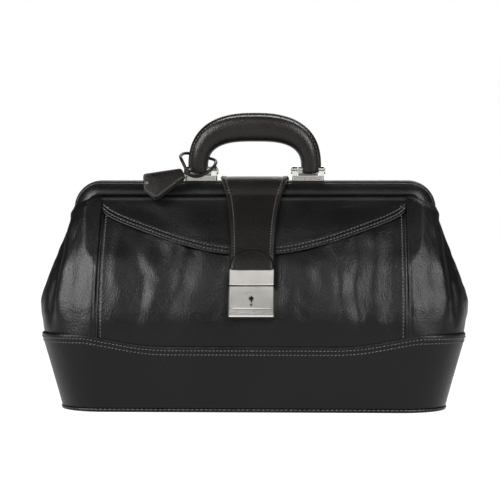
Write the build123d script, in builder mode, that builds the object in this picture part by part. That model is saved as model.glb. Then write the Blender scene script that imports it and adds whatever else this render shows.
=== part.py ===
"""A frame-mouthed doctor bag in leather, with a hinged steel frame, a handle, a closure strap and a lock.

+X runs along the bag, -Y is its front and +Z is up. The origin is on the ground, under the middle
of the frame. All sizes are in millimetres.
"""

import os
from math import atan2, cos, degrees, hypot, pi, radians, sin, tan

from build123d import *

os.makedirs("parts", exist_ok=True)

# Overall sizes
bag_length = 404.0  # at its widest, just above the base band
bag_depth = 184.0  # front to back at the same height
frame_height = 212.0  # ground to the top of the covered frame
frame_length = 341.0  # over the leather of the frame
base_length = 357.0  # of the band at the ground
base_depth = 166.0

# Leather and its clearances
leather = 2.2  # body leather
band_leather = 2.4
flap_leather = 2.4
strap_leather = 3.2  # two layers, sewn
lining_cloth = 1.0
lay_gap = 0.4  # between layers that lie on each other
slip_gap = 0.15  # between layers that are sewn together
far = 400.0  # reaches past the whole bag

# Body levels: height, half length, half depth and plan corner radius of the leather's outer face
band_end_height = 71.5  # top edge of the band round the ends
band_middle_height = 60.8  # top edge of the band in the middle of the front and back
lap_height = 50.0  # where the panels end inside the band
hem_height = band_end_height + 2.5
swell_height = 84.0
neck_height = frame_height - 7.0
shoulder_height = frame_height - 22.0
belly_height = swell_height + 0.453 * (shoulder_height - swell_height)
waist_height = swell_height + 0.717 * (shoulder_height - swell_height)
hem_half_length = bag_length / 2 - 4.3
hem_half_depth = bag_depth / 2 + 0.4
shoulder_half_depth = 32.0
fold_height = 130.0  # above it the rear leather goes with the rear jaw

# Frame
steel = 2.4
cover = 1.6  # leather round the steel
frame_corner = 26.0  # outer radius of the covered corner
strip_width = 13.4  # of the steel strip, front to back
jaw_gap = 1.6  # between the two covered jaws
hinge_drop = 87.0  # from the top of the frame to the hinge pins
ear_radius = 8.0
hinge_pin_radius = 2.5
hinge_gap = 0.6  # between the front and the rear ears
running = 0.05  # radial clearance of a pin in its hole
pin_head = 1.6

# Seams between the panels and the gussets
seam_at = 140.2  # half the width of the front and rear panels
welt_width = 5.0
welt_proud = 1.4

# Front pocket
pocket_gap = 6.3  # room in the pocket, front to back
pocket_top = 176.0

# Flap over the pocket
crease_height = frame_height - 15.0
flap_tip_height = 143.5
flap_end_height = 184.0
flap_half_length = 142.6

# Lock
lock_width = 41.0
lock_bottom = 2.2  # up the slope from the swell line
lock_length = 29.2
lock_thickness = 8.4
lock_wall = 1.4
lock_window_width = 35.8
rivet_radius = 0.8
rivet_head = 0.6
rivet_inset = 2.3  # of the rivets from the lock's edges
window_bottom_rail = 4.4
window_length = 18.5
plate_thickness = 1.5
plate_travel = 2.4
keyhole_radius = 2.3
keyhole_slot = 3.0
keyhole_length = 6.3
bolt_height = 1.4
cam_radius = 3.6
cam_finger = 2.0  # past the cam's round

# Hasp on the end of the strap
hasp_width = 40.6
hasp_length = 15.7
hasp_gap = 0.9  # between the hasp and the lock
hasp_sheet = 1.6
tongue_width = 18.0
tongue_sheet = 1.4
tongue_reach = 4.0  # into the lock

# Closure strap
strap_side_gap = 3.6  # from the strap at the top to the handle's brackets
strap_end_width = 41.0
tab_radius = 18.2

# Handle
handle_across = -11.0  # Y of the handle
handle_pivot_rise = 9.3  # of the pivot over the frame
handle_half_length = 59.6  # outside
handle_height = 63.6  # top of the grip over the frame
grip_height = 27.4  # thickness of the grip in its middle
leg_width = 18.0
grip_depth = 20.0
spine_sheet = 2.0
spine_width = 9.0
eye_radius = 4.6
handle_pin_radius = 1.8

# Handle brackets
bracket_width = 30.0
bracket_depth = 11.0
bracket_post = 4.8
bracket_base = 4.4

# Key fob and its lace
bell_length = 41.0
bell_shoulder = 35.0  # from the neck to the widest place
bell_mouth = 30.0
bell_neck = 10.0
bell_leather = 1.5
bell_gap = 2.2  # room for the key
bell_turn = 26.0  # degrees below level
lace_diameter = 3.0


# ---- shared geometry


def mix(low, high, share):
    """The value that lies a share of the way from low to high."""
    return low + (high - low) * share


def along(path, height):
    """The half depth of a profile, given as (half depth, height) points, at a height."""
    for (depth_a, height_a), (depth_b, height_b) in zip(path, path[1:]):
        if height <= height_b:
            return mix(depth_a, depth_b, (height - height_a) / (height_b - height_a))
    return path[-1][0]


def offset_path(path, distance):
    """A (Y, Z) polyline moved to its left by a distance, with mitred corners."""
    moved = []
    for i, (y, z) in enumerate(path):
        before = path[max(i - 1, 0)]
        after = path[min(i + 1, len(path) - 1)]
        turns = []
        for start, end in ((before, (y, z)), ((y, z), after)):
            run = hypot(end[0] - start[0], end[1] - start[1])
            if run > 0:
                turns.append(((start[1] - end[1]) / run, (end[0] - start[0]) / run))
        normal_y = sum(n[0] for n in turns) / len(turns)
        normal_z = sum(n[1] for n in turns) / len(turns)
        stretch = distance / (normal_y**2 + normal_z**2)
        moved.append((y + normal_y * stretch, z + normal_z * stretch))
    return moved


def trimmed(path, low, high):
    """The stretch of a rising (Y, Z) polyline between two heights."""
    inside = [p for p in path if low < p[1] < high]
    depths = [(abs(p[0]), p[1]) for p in path]
    side = -1 if path[0][0] < 0 else 1
    return [(side * along(depths, low), low), *inside, (side * along(depths, high), high)]


def sheet(path, inner, outer, half_width):
    """A sheet that follows a (Y, Z) polyline, between two offsets to the polyline's left."""
    ring = [*offset_path(path, inner), *reversed(offset_path(path, outer))]
    with BuildPart() as block:
        with BuildSketch(Plane.YZ):
            with BuildLine():
                Polyline(*ring, close=True)
            make_face()
        extrude(amount=half_width, both=True)
    return block.part


def body(levels, inset=0.0):
    """A solid through rounded rectangles at each level, all drawn in by an inset."""
    with BuildPart() as block:
        for height, level_length, level_depth, corner in levels:
            with BuildSketch(Plane.XY.offset(height)):
                size = (2 * (level_length - inset), 2 * (level_depth - inset))
                RectangleRounded(*size, max(corner - inset, 1))
        loft(ruled=True)
    return block.part


def arch(outer_half, inset, near, away, bottom):
    """A filled arch, drawn in by an inset from the covered frame's outline, from one Y to another."""
    top = frame_height - inset
    with BuildPart() as block:
        with BuildSketch(Plane.XZ.offset(-max(near, away))):
            with BuildLine():
                Polyline(
                    (inset - outer_half, bottom),
                    (inset - outer_half, top),
                    (outer_half - inset, top),
                    (outer_half - inset, bottom),
                    close=True,
                )
            make_face()
        extrude(amount=abs(away - near))
        fillet(block.edges().filter_by(Axis.Y).group_by(Axis.Z)[-1], frame_corner - inset)
    return block.part


def slab(low, high):
    """Everything between two heights."""
    with BuildPart() as block:
        with Locations((0, 0, (low + high) / 2)):
            Box(2 * far, 2 * far, high - low)
    return block.part


def end_space(side, start):
    """Everything beyond X = start on one side."""
    with BuildPart() as block:
        with Locations((side * (start + far / 2), 0, frame_height / 2)):
            Box(far, 2 * far, 2 * frame_height)
    return block.part


def rear_space(start, low):
    """Everything behind Y = start and above a height."""
    with BuildPart() as block:
        with Locations((0, start + far / 2, low + far / 2)):
            Box(2 * far, far, far)
    return block.part


def write(part, label):
    part.label = label
    export_step(part, f"parts/{label}.step")


half_length = bag_length / 2
half_depth = bag_depth / 2
jaw_near = jaw_gap / 2
steel_near = jaw_near + cover
jaw_far = steel_near + strip_width + cover
neck_half_depth = jaw_far + leather + lay_gap
neck_half_length = frame_length / 2 + 1.3
shoulder_half_length = frame_length / 2 + 3.1
lap_share = lap_height / hem_height
lap_half_length = mix(base_length / 2 - band_leather - slip_gap, hem_half_length, lap_share)
lap_half_depth = mix(base_depth / 2 - band_leather - slip_gap, hem_half_depth, lap_share)
belly_half_depth = mix(half_depth, shoulder_half_depth, 0.288)
waist_half_depth = mix(half_depth, shoulder_half_depth, 0.6)
body_levels = [
    (lap_height, lap_half_length, lap_half_depth, mix(52 - band_leather - slip_gap, 54, lap_share)),
    (hem_height, hem_half_length, hem_half_depth, 54),
    (swell_height, half_length - 0.5, half_depth, 57),
    (mix(swell_height, belly_height, 0.5), half_length - 2.5, mix(half_depth, belly_half_depth, 0.5), 54),
    (belly_height, half_length - 11.5, belly_half_depth, 46),
    (waist_height, mix(half_length - 11.5, shoulder_half_length, 0.55), waist_half_depth, 34),
    (shoulder_height, shoulder_half_length, shoulder_half_depth, 19),
    (neck_height, neck_half_length, neck_half_depth, 9),
]


def level_at(height):
    # The body's half length, half depth and corner at any height, straight between its levels
    spans = zip(body_levels[:-1], body_levels[1:])
    low, high = [span for span in spans if span[0][0] <= height][-1]
    share = (height - low[0]) / (high[0] - low[0])
    return [mix(a, b, share) for a, b in zip(low, high)]


profile = [(level[2], level[0]) for level in body_levels]
front_path = [(-depth, height) for depth, height in profile]
rear_path = [(depth, height) for depth, height in reversed(profile)]

# The front wall lies behind the pocket and comes forward to the frame at its top
wall_back = leather + pocket_gap
wall_path = [(-(depth - wall_back), height) for depth, height in profile if height <= waist_height]
wall_path += [(-shoulder_half_depth, shoulder_height), (-neck_half_depth, neck_height)]

lock_tilt = atan2(half_depth - belly_half_depth, belly_height - swell_height)
lock_plane = Plane(
    origin=(0, -half_depth, swell_height),
    x_dir=(1, 0, 0),
    z_dir=(0, -cos(lock_tilt), sin(lock_tilt)),
)
lock_top = lock_bottom + lock_length
hinge_height = frame_height - hinge_drop

# ---- base

sole_thickness = 3.2
band_foot = sole_thickness + 0.2
tray_sheet = 2.0
tray_gap = band_leather + 2 * slip_gap


def band(inset):
    """The base band's outer face drawn in by an inset: it leans out from the ground to its top."""
    reach = band_leather + slip_gap
    foot = (0.0, base_length / 2 - inset, base_depth / 2 - inset, 52 - inset)
    head = (hem_height, hem_half_length + reach - inset, hem_half_depth + reach - inset, 54 + reach - inset)
    return body([foot, head])


with BuildPart() as sole:
    with BuildSketch():
        RectangleRounded(base_length - 2.0, base_depth - 2.0, 51)
    extrude(amount=sole_thickness)
    fillet(sole.edges().group_by(Axis.Z)[0], 0.8)
write(sole.part, "sole")

with BuildPart() as base_band:
    add(band(0.0))
    add(band(band_leather), mode=Mode.SUBTRACT)
    add(slab(-far, band_foot), mode=Mode.SUBTRACT)
    # The top edge is low in the middle of the front and back and rises to the ends in a soft wave
    with BuildSketch(Plane.XZ):
        with BuildLine():
            wave = [(-138, band_end_height), (-121, 67.5), (-95, 62.4), (-70, band_middle_height)]
            left_wave = Spline(*wave, tangents=((1, 0), (1, 0)))
            Line((-70, band_middle_height), (70, band_middle_height))
            Spline(*[(-x, z) for x, z in reversed(wave)], tangents=((1, 0), (1, 0)))
            Polyline((138, band_end_height), (far, band_end_height), (far, far), (-far, far))
            Polyline((-far, far), (-far, band_end_height), (-138, band_end_height))
        make_face()
    extrude(amount=far, both=True, mode=Mode.SUBTRACT)
write(base_band.part, "base_band")

with BuildPart() as base_tray:
    add(band(tray_gap))
    add(band(tray_gap + tray_sheet), mode=Mode.SUBTRACT)
    add(slab(lap_height - 1.5, far), mode=Mode.SUBTRACT)
    with BuildSketch():
        RectangleRounded(base_length - 2 * tray_gap - 2, base_depth - 2 * tray_gap - 2, 52 - tray_gap)
    extrude(amount=band_foot + 3.0)
    add(slab(-far, band_foot), mode=Mode.SUBTRACT)
write(base_tray.part, "base_tray")

# ---- soft walls

shell_leather = leather * 1.12  # measured level, so the leaning leather comes out at its thickness

with BuildPart() as front_wall:
    add(sheet(wall_path, -leather, 0, seam_at - slip_gap))
write(front_wall.part, "front_wall")

with BuildPart() as pocket_panel:
    add(sheet(trimmed(front_path, lap_height, pocket_top), -leather, 0, seam_at - slip_gap))
write(pocket_panel.part, "pocket_panel")

rear_low = trimmed(rear_path[::-1], lap_height, fold_height)
rear_high = trimmed(rear_path[::-1], fold_height + lay_gap, neck_height)
for path, name in ((rear_low, "rear_panel"), (rear_high, "rear_yoke")):
    with BuildPart() as panel:
        add(sheet(path, 0, leather, seam_at - slip_gap))
    write(panel.part, name)

gusset_at = seam_at + welt_width
for side, hand in ((-1, "left"), (1, "right")):
    with BuildPart() as gusset:
        add(body(body_levels))
        add(body(body_levels, shell_leather), mode=Mode.SUBTRACT)
        add(end_space(side, gusset_at + slip_gap), mode=Mode.INTERSECT)
        # The end's top slopes down from the seams to the frame's legs
        with BuildSketch(Plane.XZ):
            with BuildLine():
                Polyline(
                    (side * seam_at, neck_height - 4),
                    (side * (shoulder_half_length + 1), shoulder_height - 1),
                    (side * far, shoulder_height - 1),
                    (side * far, far),
                    (side * seam_at, far),
                    close=True,
                )
            make_face()
        extrude(amount=far, both=True, mode=Mode.SUBTRACT)
    with BuildPart() as front_gusset:
        add(gusset.part)
        add(rear_space(lay_gap, fold_height), mode=Mode.SUBTRACT)
    write(front_gusset.part, hand + "_gusset")
    with BuildPart() as gusset_fold:
        add(gusset.part)
        add(rear_space(2 * lay_gap, fold_height + lay_gap), mode=Mode.INTERSECT)
    write(gusset_fold.part, hand + "_gusset_fold")

welt_foot = band_end_height + 0.5
front_welt = trimmed(front_path, welt_foot, flap_end_height - 3)
rear_low_welt = trimmed(rear_path[::-1], welt_foot, fold_height)
rear_high_welt = trimmed(rear_path[::-1], fold_height + lay_gap, neck_height - 4.5)
welt_paths = (
    (front_welt, -wall_back, welt_proud, "front_seam_welts"),
    (rear_low_welt, -welt_proud, leather, "rear_seam_welts"),
    (rear_high_welt, -welt_proud, leather, "rear_yoke_welts"),
)
for path, inner, outer, name in welt_paths:
    with BuildPart() as welts:
        add(sheet(path, inner, outer, gusset_at))
        with Locations((0, 0, frame_height / 2)):
            Box(2 * seam_at, 2 * far, 2 * frame_height, mode=Mode.SUBTRACT)
            Box(2 * far, 2 * neck_half_depth - 2 * leather, 2 * frame_height, mode=Mode.SUBTRACT)
    write(welts.part, name)

lining_hinge_gap = 7.0
lining_end_gap = 2.75
lining_corner_gap = 12.7  # the lining's corners are that much tighter than the body's
lining_top = hinge_height - lining_hinge_gap
lining_inset = wall_back + leather + lay_gap
lining_foot = (
    band_foot + 3.4,
    base_length / 2 - tray_gap - tray_sheet - 2.0,
    base_depth / 2 - lining_inset,
    42,
)
_, top_half_length, top_half_depth, top_corner = level_at(lining_top)
lining_levels = [
    lining_foot,
    (lap_height, lap_half_length - leather - 2.0, lap_half_depth - lining_inset, 40),
    (swell_height, half_length - leather - 3.5, half_depth - lining_inset, 44),
    (
        lining_top,
        top_half_length - leather - lining_end_gap,
        top_half_depth - lining_inset,
        top_corner - lining_corner_gap,
    ),
]
with BuildPart() as lining:
    add(body(lining_levels))
    hollow = [(h + (lining_cloth if h == lining_foot[0] else 0), a, b, r) for h, a, b, r in lining_levels]
    hollow.append((lining_top + 1.0, *hollow[-1][1:]))
    add(body(hollow, lining_cloth), mode=Mode.SUBTRACT)
write(lining.part, "lining")

# ---- frame

front_half = frame_length / 2
rear_half = front_half - steel - hinge_gap
cover_foot = hinge_height + 3 * ear_radius + 3
front_leg = front_half - cover  # outer faces of the steel legs
rear_leg = rear_half - cover

for way, outer_half, name in ((-1, front_half, "front_frame"), (1, rear_half, "rear_frame")):
    near, away = way * steel_near, way * (steel_near + strip_width)
    leg = outer_half - cover
    with BuildPart() as jaw:
        add(arch(outer_half, cover, near, away, hinge_height + 2 * ear_radius))
        add(arch(outer_half, cover + steel, near, away, hinge_height), mode=Mode.SUBTRACT)
        for side in (-1, 1):
            with BuildSketch(Plane.YZ.offset(side * (leg - steel / 2))):
                with Locations((0, hinge_height)):
                    Circle(ear_radius)
                with Locations(((near + away) / 2, hinge_height + 2 * ear_radius + 1)):
                    Rectangle(strip_width, 2)
                make_hull()
            extrude(amount=steel / 2, both=True)
        with Locations(Location((0, 0, hinge_height), (0, 90, 0))):
            Cylinder(hinge_pin_radius + running, 2 * far, mode=Mode.SUBTRACT)
    write(jaw.part, name)

    with BuildPart() as sleeve:
        add(arch(outer_half, 0, way * jaw_near, way * jaw_far, cover_foot))
        bed_near, bed_away = near - way * running, away + way * running
        add(arch(outer_half, cover - running, bed_near, bed_away, 0), mode=Mode.SUBTRACT)
        add(arch(outer_half, cover + steel + running, way * jaw_near, way * jaw_far, cover_foot))
        add(arch(outer_half, 2 * cover + steel, way * jaw_near, way * jaw_far, 0), mode=Mode.SUBTRACT)
    write(sleeve.part, name + "_cover")

for side, hand in ((-1, "left"), (1, "right")):
    inside_face = rear_leg - steel - 0.3
    outside_face = front_leg + 0.3
    with BuildPart() as pin:
        for start, length, radius in (
            (inside_face - pin_head, pin_head, hinge_pin_radius + 2),
            (inside_face, outside_face - inside_face, hinge_pin_radius),
            (outside_face, pin_head, hinge_pin_radius + 2),
        ):
            with BuildSketch(Plane.YZ.offset(side * start)):
                with Locations((0, hinge_height)):
                    Circle(radius)
            extrude(amount=side * length)
    write(pin.part, hand + "_hinge_pin")

# ---- flap over the pocket


with BuildPart() as flap:
    flap_path = trimmed(front_path, lap_height, crease_height)
    add(sheet(flap_path, lay_gap, lay_gap + flap_leather, flap_half_length))
    with BuildSketch(Plane.XZ):
        with BuildLine():
            edge = [(0, flap_tip_height), (30, 145.5), (64, 152.5), (103, 165.5), (128, 176.5)]
            edge.append((flap_half_length, flap_end_height + 6))
            right_edge = Spline(*edge, tangents=((1, 0), (0.5, 1)))
            Polyline(right_edge @ 1, (far, flap_end_height + 6), (far, 0), (-far, 0))
            Polyline((-far, 0), (-far, flap_end_height + 6), (-flap_half_length, flap_end_height + 6))
            Spline(*[(-x, z) for x, z in reversed(edge)], tangents=((0.5, -1), (1, 0)))
        make_face()
    extrude(amount=far, both=True, mode=Mode.SUBTRACT)
write(flap.part, "flap")

# ---- closure strap

strap_lay = lay_gap + flap_leather + lay_gap
strap_top_width = 2 * (handle_half_length - leg_width / 2 - bracket_width / 2 - strap_side_gap)
strap_low = swell_height + (lock_top + hasp_gap + 9.5) * cos(lock_tilt)
strap_hinge_at = 15.0  # Y of the line that the strap bends about, on the rear jaw
strap_rise = 0.9  # over the frame's leather


def strap_outline(low, high):
    """The strap seen from the front: wide over the frame and narrow at the hasp."""
    with BuildPart() as block:
        with BuildSketch(Plane.XZ):
            with BuildLine():
                points = [(strap_end_width / 2, strap_low - 1), (strap_end_width / 2 + 1, 165), (25.5, 194)]
                points.append((strap_top_width / 2, frame_height))
                right = Spline(*points)
                corners = [(strap_top_width / 2, far), (-strap_top_width / 2, far)]
                Polyline(right @ 1, *corners, (-strap_top_width / 2, frame_height))
                Spline(*[(-x, z) for x, z in reversed(points)])
                Line((-strap_end_width / 2, strap_low - 1), right @ 0)
            make_face()
        extrude(amount=far, both=True)
    return block.part


top_line = frame_height + strap_rise
strap_path = offset_path(trimmed(front_path, strap_low, crease_height), strap_lay)
strap_path += [(-jaw_far - strap_rise, top_line), (5.5, top_line)]

with BuildPart() as strap:
    add(sheet(strap_path, 0, strap_leather, far))
    add(strap_outline(0, far), mode=Mode.INTERSECT)
write(strap.part, "strap")

with BuildPart() as strap_fold:
    with BuildSketch(Plane.XY.offset(top_line)):
        with Locations((0, (6.0 + strap_hinge_at) / 2)):
            Rectangle(strap_top_width, strap_hinge_at - 6.0)
    extrude(amount=strap_leather)
write(strap_fold.part, "strap_fold")

with BuildPart() as strap_anchor:
    anchor_path = [(y, z) for y, z in trimmed(rear_path[::-1], fold_height + 20, neck_height)]
    anchor_path = offset_path(anchor_path, -lay_gap)
    anchor_path += [(jaw_far + strap_rise, top_line), (strap_hinge_at + 0.5, top_line)]
    add(sheet(anchor_path, -strap_leather, 0, strap_top_width / 2))
write(strap_anchor.part, "strap_anchor")

with BuildPart() as strap_tab:
    tab_lay = strap_lay + strap_leather + lay_gap
    tab_low = swell_height + (lock_top + hasp_gap + hasp_length + lay_gap) * cos(lock_tilt)
    tab_path = trimmed(front_path, tab_low + 2, tab_low + 2 + tab_radius)
    add(sheet(tab_path, tab_lay, tab_lay + leather, tab_radius))
    with BuildSketch(Plane.XZ):
        with Locations((0, tab_low + 2.5)):
            Circle(tab_radius)
    extrude(amount=far, both=True, mode=Mode.INTERSECT)
write(strap_tab.part, "strap_tab")

# ---- lock, on the plane of the front leather below the hasp

lock_back = 0.3  # over the leather
lock_face = lock_back + lock_thickness
neck_block = 9.4  # the lock's step under the hasp, up the slope
neck_face = lock_face - hasp_sheet - lay_gap
slot_start = lock_top + hasp_gap + 1.4
slot_end = lock_top + neck_block - 1.6
tongue_start = slot_start + 1.2
window_low = lock_bottom + window_bottom_rail
window_top = window_low + window_length
plate_back = lock_face - lock_wall - plate_thickness - running
rivet_places = [(side * (lock_width / 2 - rivet_inset), lock_bottom + rivet_inset) for side in (-1, 1)]


def local(z):
    """The lock's plane moved outward."""
    return lock_plane.offset(z)


with BuildPart() as lock_case:
    with BuildSketch(local(lock_back)):
        with Locations((0, lock_bottom + lock_length / 2)):
            RectangleRounded(lock_width, lock_length, 1.2)
    extrude(amount=lock_thickness)
    chamfer(lock_case.faces().sort_by(Axis.Y)[0].edges(), 0.9)
    with BuildSketch(local(lock_back)):
        with Locations((0, lock_top + neck_block / 2 - 1)):
            Rectangle(30, neck_block + 2)
    extrude(amount=neck_face - lock_back)
    # The room for the works, open at the back until the back plate closes it
    with BuildSketch(local(lock_back + 1.2)):
        with Locations((0, (lock_bottom + lock_wall + lock_top - 1.6) / 2)):
            Rectangle(lock_width - 2 * lock_wall, lock_length - lock_wall - 1.6)
    extrude(amount=lock_thickness - lock_wall - 1.2, mode=Mode.SUBTRACT)
    with BuildSketch(local(lock_back + 1.2)):
        with Locations((0, (window_low + window_top) / 2)):
            Rectangle(lock_window_width, window_length)
    extrude(amount=lock_thickness, mode=Mode.SUBTRACT)
    # The slot for the hasp's tongue and the bolt's way into it
    with BuildSketch(local(lock_back + 1.6)):
        with Locations((0, (slot_start + slot_end) / 2)):
            Rectangle(tongue_width + 1.6, slot_end - slot_start)
    extrude(amount=lock_thickness, mode=Mode.SUBTRACT)
    with BuildSketch(local(lock_back + 1.6)):
        with Locations((0, (lock_top - 3 + slot_start + 1) / 2)):
            Rectangle(8.6, slot_start + 4 - lock_top)
    extrude(amount=bolt_height + 0.4, mode=Mode.SUBTRACT)
    # Two rivets in the lower corners of the face
    with Locations(local(lock_face)):
        with Locations(*rivet_places):
            Hole(rivet_radius + running, depth=lock_wall)
write(lock_case.part, "lock_case")

with BuildPart() as lock_rivets:
    with BuildSketch(local(lock_face - lock_wall)):
        with Locations(*rivet_places):
            Circle(rivet_radius)
    extrude(amount=lock_wall)
    with BuildSketch(local(lock_face)):
        with Locations(*rivet_places):
            Circle(rivet_radius + 0.5)
    extrude(amount=rivet_head)
write(lock_rivets.part, "lock_rivets")

plate_width = lock_window_width - 0.6
plate_low = window_low + plate_travel + 0.6
keyhole_at = window_top - 6.2

with BuildPart() as lock_slide:
    with BuildSketch(local(plate_back)):
        with Locations((0, (window_low - 0.4 + window_top + 1.4) / 2)):
            Rectangle(plate_width + 1.6, window_top - window_low + 1.8)
    extrude(amount=plate_thickness)
    with BuildSketch(local(plate_back + plate_thickness)):
        with Locations((0, (plate_low + window_top - 0.3) / 2)):
            Rectangle(plate_width, window_top - 0.3 - plate_low)
    extrude(amount=lock_wall + 0.5)
    chamfer(lock_slide.faces().sort_by(Axis.Y)[0].edges(), 0.6)
    with BuildSketch(local(plate_back)):
        with Locations((0, keyhole_at)):
            Circle(keyhole_radius)
        with Locations((0, keyhole_at - keyhole_length / 2)):
            SlotCenterToCenter(keyhole_length - keyhole_slot / 2, keyhole_slot * 0.8, rotation=90)
    extrude(amount=lock_thickness, mode=Mode.SUBTRACT)
write(lock_slide.part, "lock_slide")

cam_at = keyhole_at
works_low = lock_back + 1.2 + 0.2
with BuildPart() as lock_cam:
    with BuildSketch(local(works_low)):
        with Locations((0, cam_at)):
            Circle(cam_radius)
        with Locations(((cam_radius + cam_finger) / 2, cam_at)):
            Rectangle(cam_radius + cam_finger, 1.6)
    extrude(amount=1.4)
    with BuildSketch(local(works_low)):
        with Locations((0, cam_at)):
            Rectangle(1.0, 3.4)
    extrude(amount=1.4, mode=Mode.SUBTRACT)
write(lock_cam.part, "lock_cam")

with BuildPart() as lock_bolt:
    bolt_low = cam_at + cam_radius + cam_finger + 0.3
    with BuildSketch(local(lock_back + 1.6 + 0.2)):
        with Locations((0, (bolt_low + lock_top - 1.0) / 2)):
            Rectangle(8.0, lock_top - 1.0 - bolt_low)
    extrude(amount=bolt_height)
write(lock_bolt.part, "lock_bolt")

with BuildPart() as lock_springs:
    spring_low = lock_bottom + lock_wall + 0.3
    spring_top = window_low - 0.4 - 0.2
    for side in (-1, 1):
        with BuildSketch(local(plate_back - 0.5)):
            with Locations((side * 13, (spring_low + spring_top) / 2)):
                Rectangle(3.0, spring_top - spring_low)
        extrude(amount=2.0)
write(lock_springs.part, "lock_springs")

with BuildPart() as lock_washer:
    with BuildSketch(local(-leather * 1.02)):
        with Locations((0, lock_bottom + lock_length / 2)):
            RectangleRounded(lock_width - 6, lock_length - 6, 2)
    extrude(amount=-1.2)
write(lock_washer.part, "lock_washer")

# ---- hasp

hasp_low = lock_top + hasp_gap
with BuildPart() as hasp:
    with BuildSketch(local(lock_face - hasp_sheet)):
        with Locations((0, hasp_low + hasp_length / 2)):
            RectangleRounded(hasp_width, hasp_length, 0.8)
    extrude(amount=hasp_sheet)
    chamfer(hasp.faces().sort_by(Axis.Y)[0].edges(), 0.5)
    with BuildSketch(local(lock_face - hasp_sheet)):
        with Locations((0, tongue_start + tongue_sheet / 2)):
            Rectangle(tongue_width, tongue_sheet)
    extrude(amount=-tongue_reach)
    with BuildSketch(local(lock_back + 1.6)):
        with Locations((0, tongue_start + tongue_sheet / 2)):
            Rectangle(9.0, tongue_sheet + 1)
    extrude(amount=2.8, mode=Mode.SUBTRACT)
write(hasp.part, "hasp")

# ---- handle brackets

pivot_height = frame_height + handle_pivot_rise
bracket_centre = handle_half_length - leg_width / 2
leg_gap = 0.9  # between a leg's eye and the bracket's posts
bracket_inside = bracket_width - 2 * bracket_post

for side, hand in ((-1, "left"), (1, "right")):
    centre = side * bracket_centre
    with BuildPart() as bracket:
        with BuildSketch(Plane.XY.offset(frame_height)):
            with Locations((centre, handle_across)):
                RectangleRounded(bracket_width, bracket_depth, 1.5)
        extrude(amount=bracket_base)
        for post in (-1, 1):
            post_at = centre + post * (bracket_width - bracket_post) / 2
            with BuildSketch(Plane.YZ.offset(post_at - bracket_post / 2)):
                with Locations((handle_across, pivot_height)):
                    Circle(bracket_post)
                with Locations((handle_across, frame_height + bracket_base)):
                    Rectangle(2 * bracket_post - 1, 0.2)
                make_hull()
            extrude(amount=bracket_post)
        with Locations(Location((centre, handle_across, pivot_height), (0, 90, 0))):
            Cylinder(handle_pin_radius + running, bracket_width + 2, mode=Mode.SUBTRACT)
    write(bracket.part, hand + "_handle_bracket")
    with BuildPart() as pin:
        with BuildSketch(Plane.YZ.offset(centre - bracket_width / 2 - 0.2)):
            with Locations((handle_across, pivot_height)):
                Circle(handle_pin_radius)
        extrude(amount=bracket_width + 0.4)
        for start in (centre - bracket_width / 2 - 1.2, centre + bracket_width / 2 + 0.2):
            with BuildSketch(Plane.YZ.offset(start)):
                with Locations((handle_across, pivot_height)):
                    Circle(handle_pin_radius + 1.2)
            extrude(amount=1.0)
    write(pin.part, hand + "_handle_pin")

# ---- handle: a steel spine with an eye at each end, inside a stuffed leather grip

leg_at = handle_half_length - leg_width / 2
grip_foot = pivot_height + eye_radius + 1.2
arch_height = frame_height + handle_height - grip_height / 2
arch_radius = 26.0
spine_gap = 0.3

leg_top = arch_height - arch_radius


def handle_solid(width, depth, top_width, top_depth, foot):
    """A round-cornered bar along the handle, thicker in its middle than at its legs."""
    with BuildPart() as block:
        stations = [
            ((-leg_at, foot), (0, 1), width, depth),
            ((-leg_at + 0.4, leg_top), (0.1, 1), mix(width, top_width, 0.3), mix(depth, top_depth, 0.3)),
        ]
        for turn, share in ((30, 0.5), (60, 0.8), (84, 1.0)):
            around = radians(turn)
            x = -leg_at + arch_radius * (1 - cos(around))
            z = leg_top + arch_radius * sin(around)
            where = (mix(width, top_width, share), mix(depth, top_depth, share))
            stations.append(((x, z), (sin(around), cos(around)), *where))
        stations.append(((0, arch_height + 0.8), (1, 0), top_width, top_depth))
        mirrored = [((-x, z), (dx, -dz), w, d) for (x, z), (dx, dz), w, d in reversed(stations[:-1])]
        for (x, z), (dx, dz), w, d in stations + mirrored:
            section = Plane(origin=(x, handle_across, z), x_dir=(0, 1, 0), z_dir=(dx, 0, dz))
            with BuildSketch(section):
                RectangleRounded(d, w, min(d, w) * 0.42)
        loft(ruled=True)
    return block.part


def spine_solid(extra, foot):
    with BuildPart() as block:
        with BuildSketch(Plane.XZ.offset(-handle_across)):
            with BuildLine():
                Polyline((-leg_at, foot), (-leg_at, leg_top))
                RadiusArc((-leg_at, leg_top), (-leg_at + arch_radius, arch_height), arch_radius)
                Line((-leg_at + arch_radius, arch_height), (leg_at - arch_radius, arch_height))
                RadiusArc((leg_at - arch_radius, arch_height), (leg_at, leg_top), arch_radius)
                Line((leg_at, leg_top), (leg_at, foot))
                offset(amount=spine_sheet / 2 + extra, side=Side.BOTH)
            make_face()
        extrude(amount=spine_width / 2 + extra, both=True)
    return block.part


with BuildPart() as handle_core:
    add(spine_solid(0, grip_foot + 0.5))
    for side in (-1, 1):
        with Locations((side * leg_at, handle_across, (pivot_height + grip_foot) / 2)):
            Box(spine_sheet * 2, 6, grip_foot - pivot_height + 3)
        with Locations(Location((side * leg_at, handle_across, pivot_height), (0, 90, 0))):
            Cylinder(eye_radius, bracket_inside - 2 * leg_gap)
            Cylinder(handle_pin_radius + running, bracket_width, mode=Mode.SUBTRACT)
write(handle_core.part, "handle_core")

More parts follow.
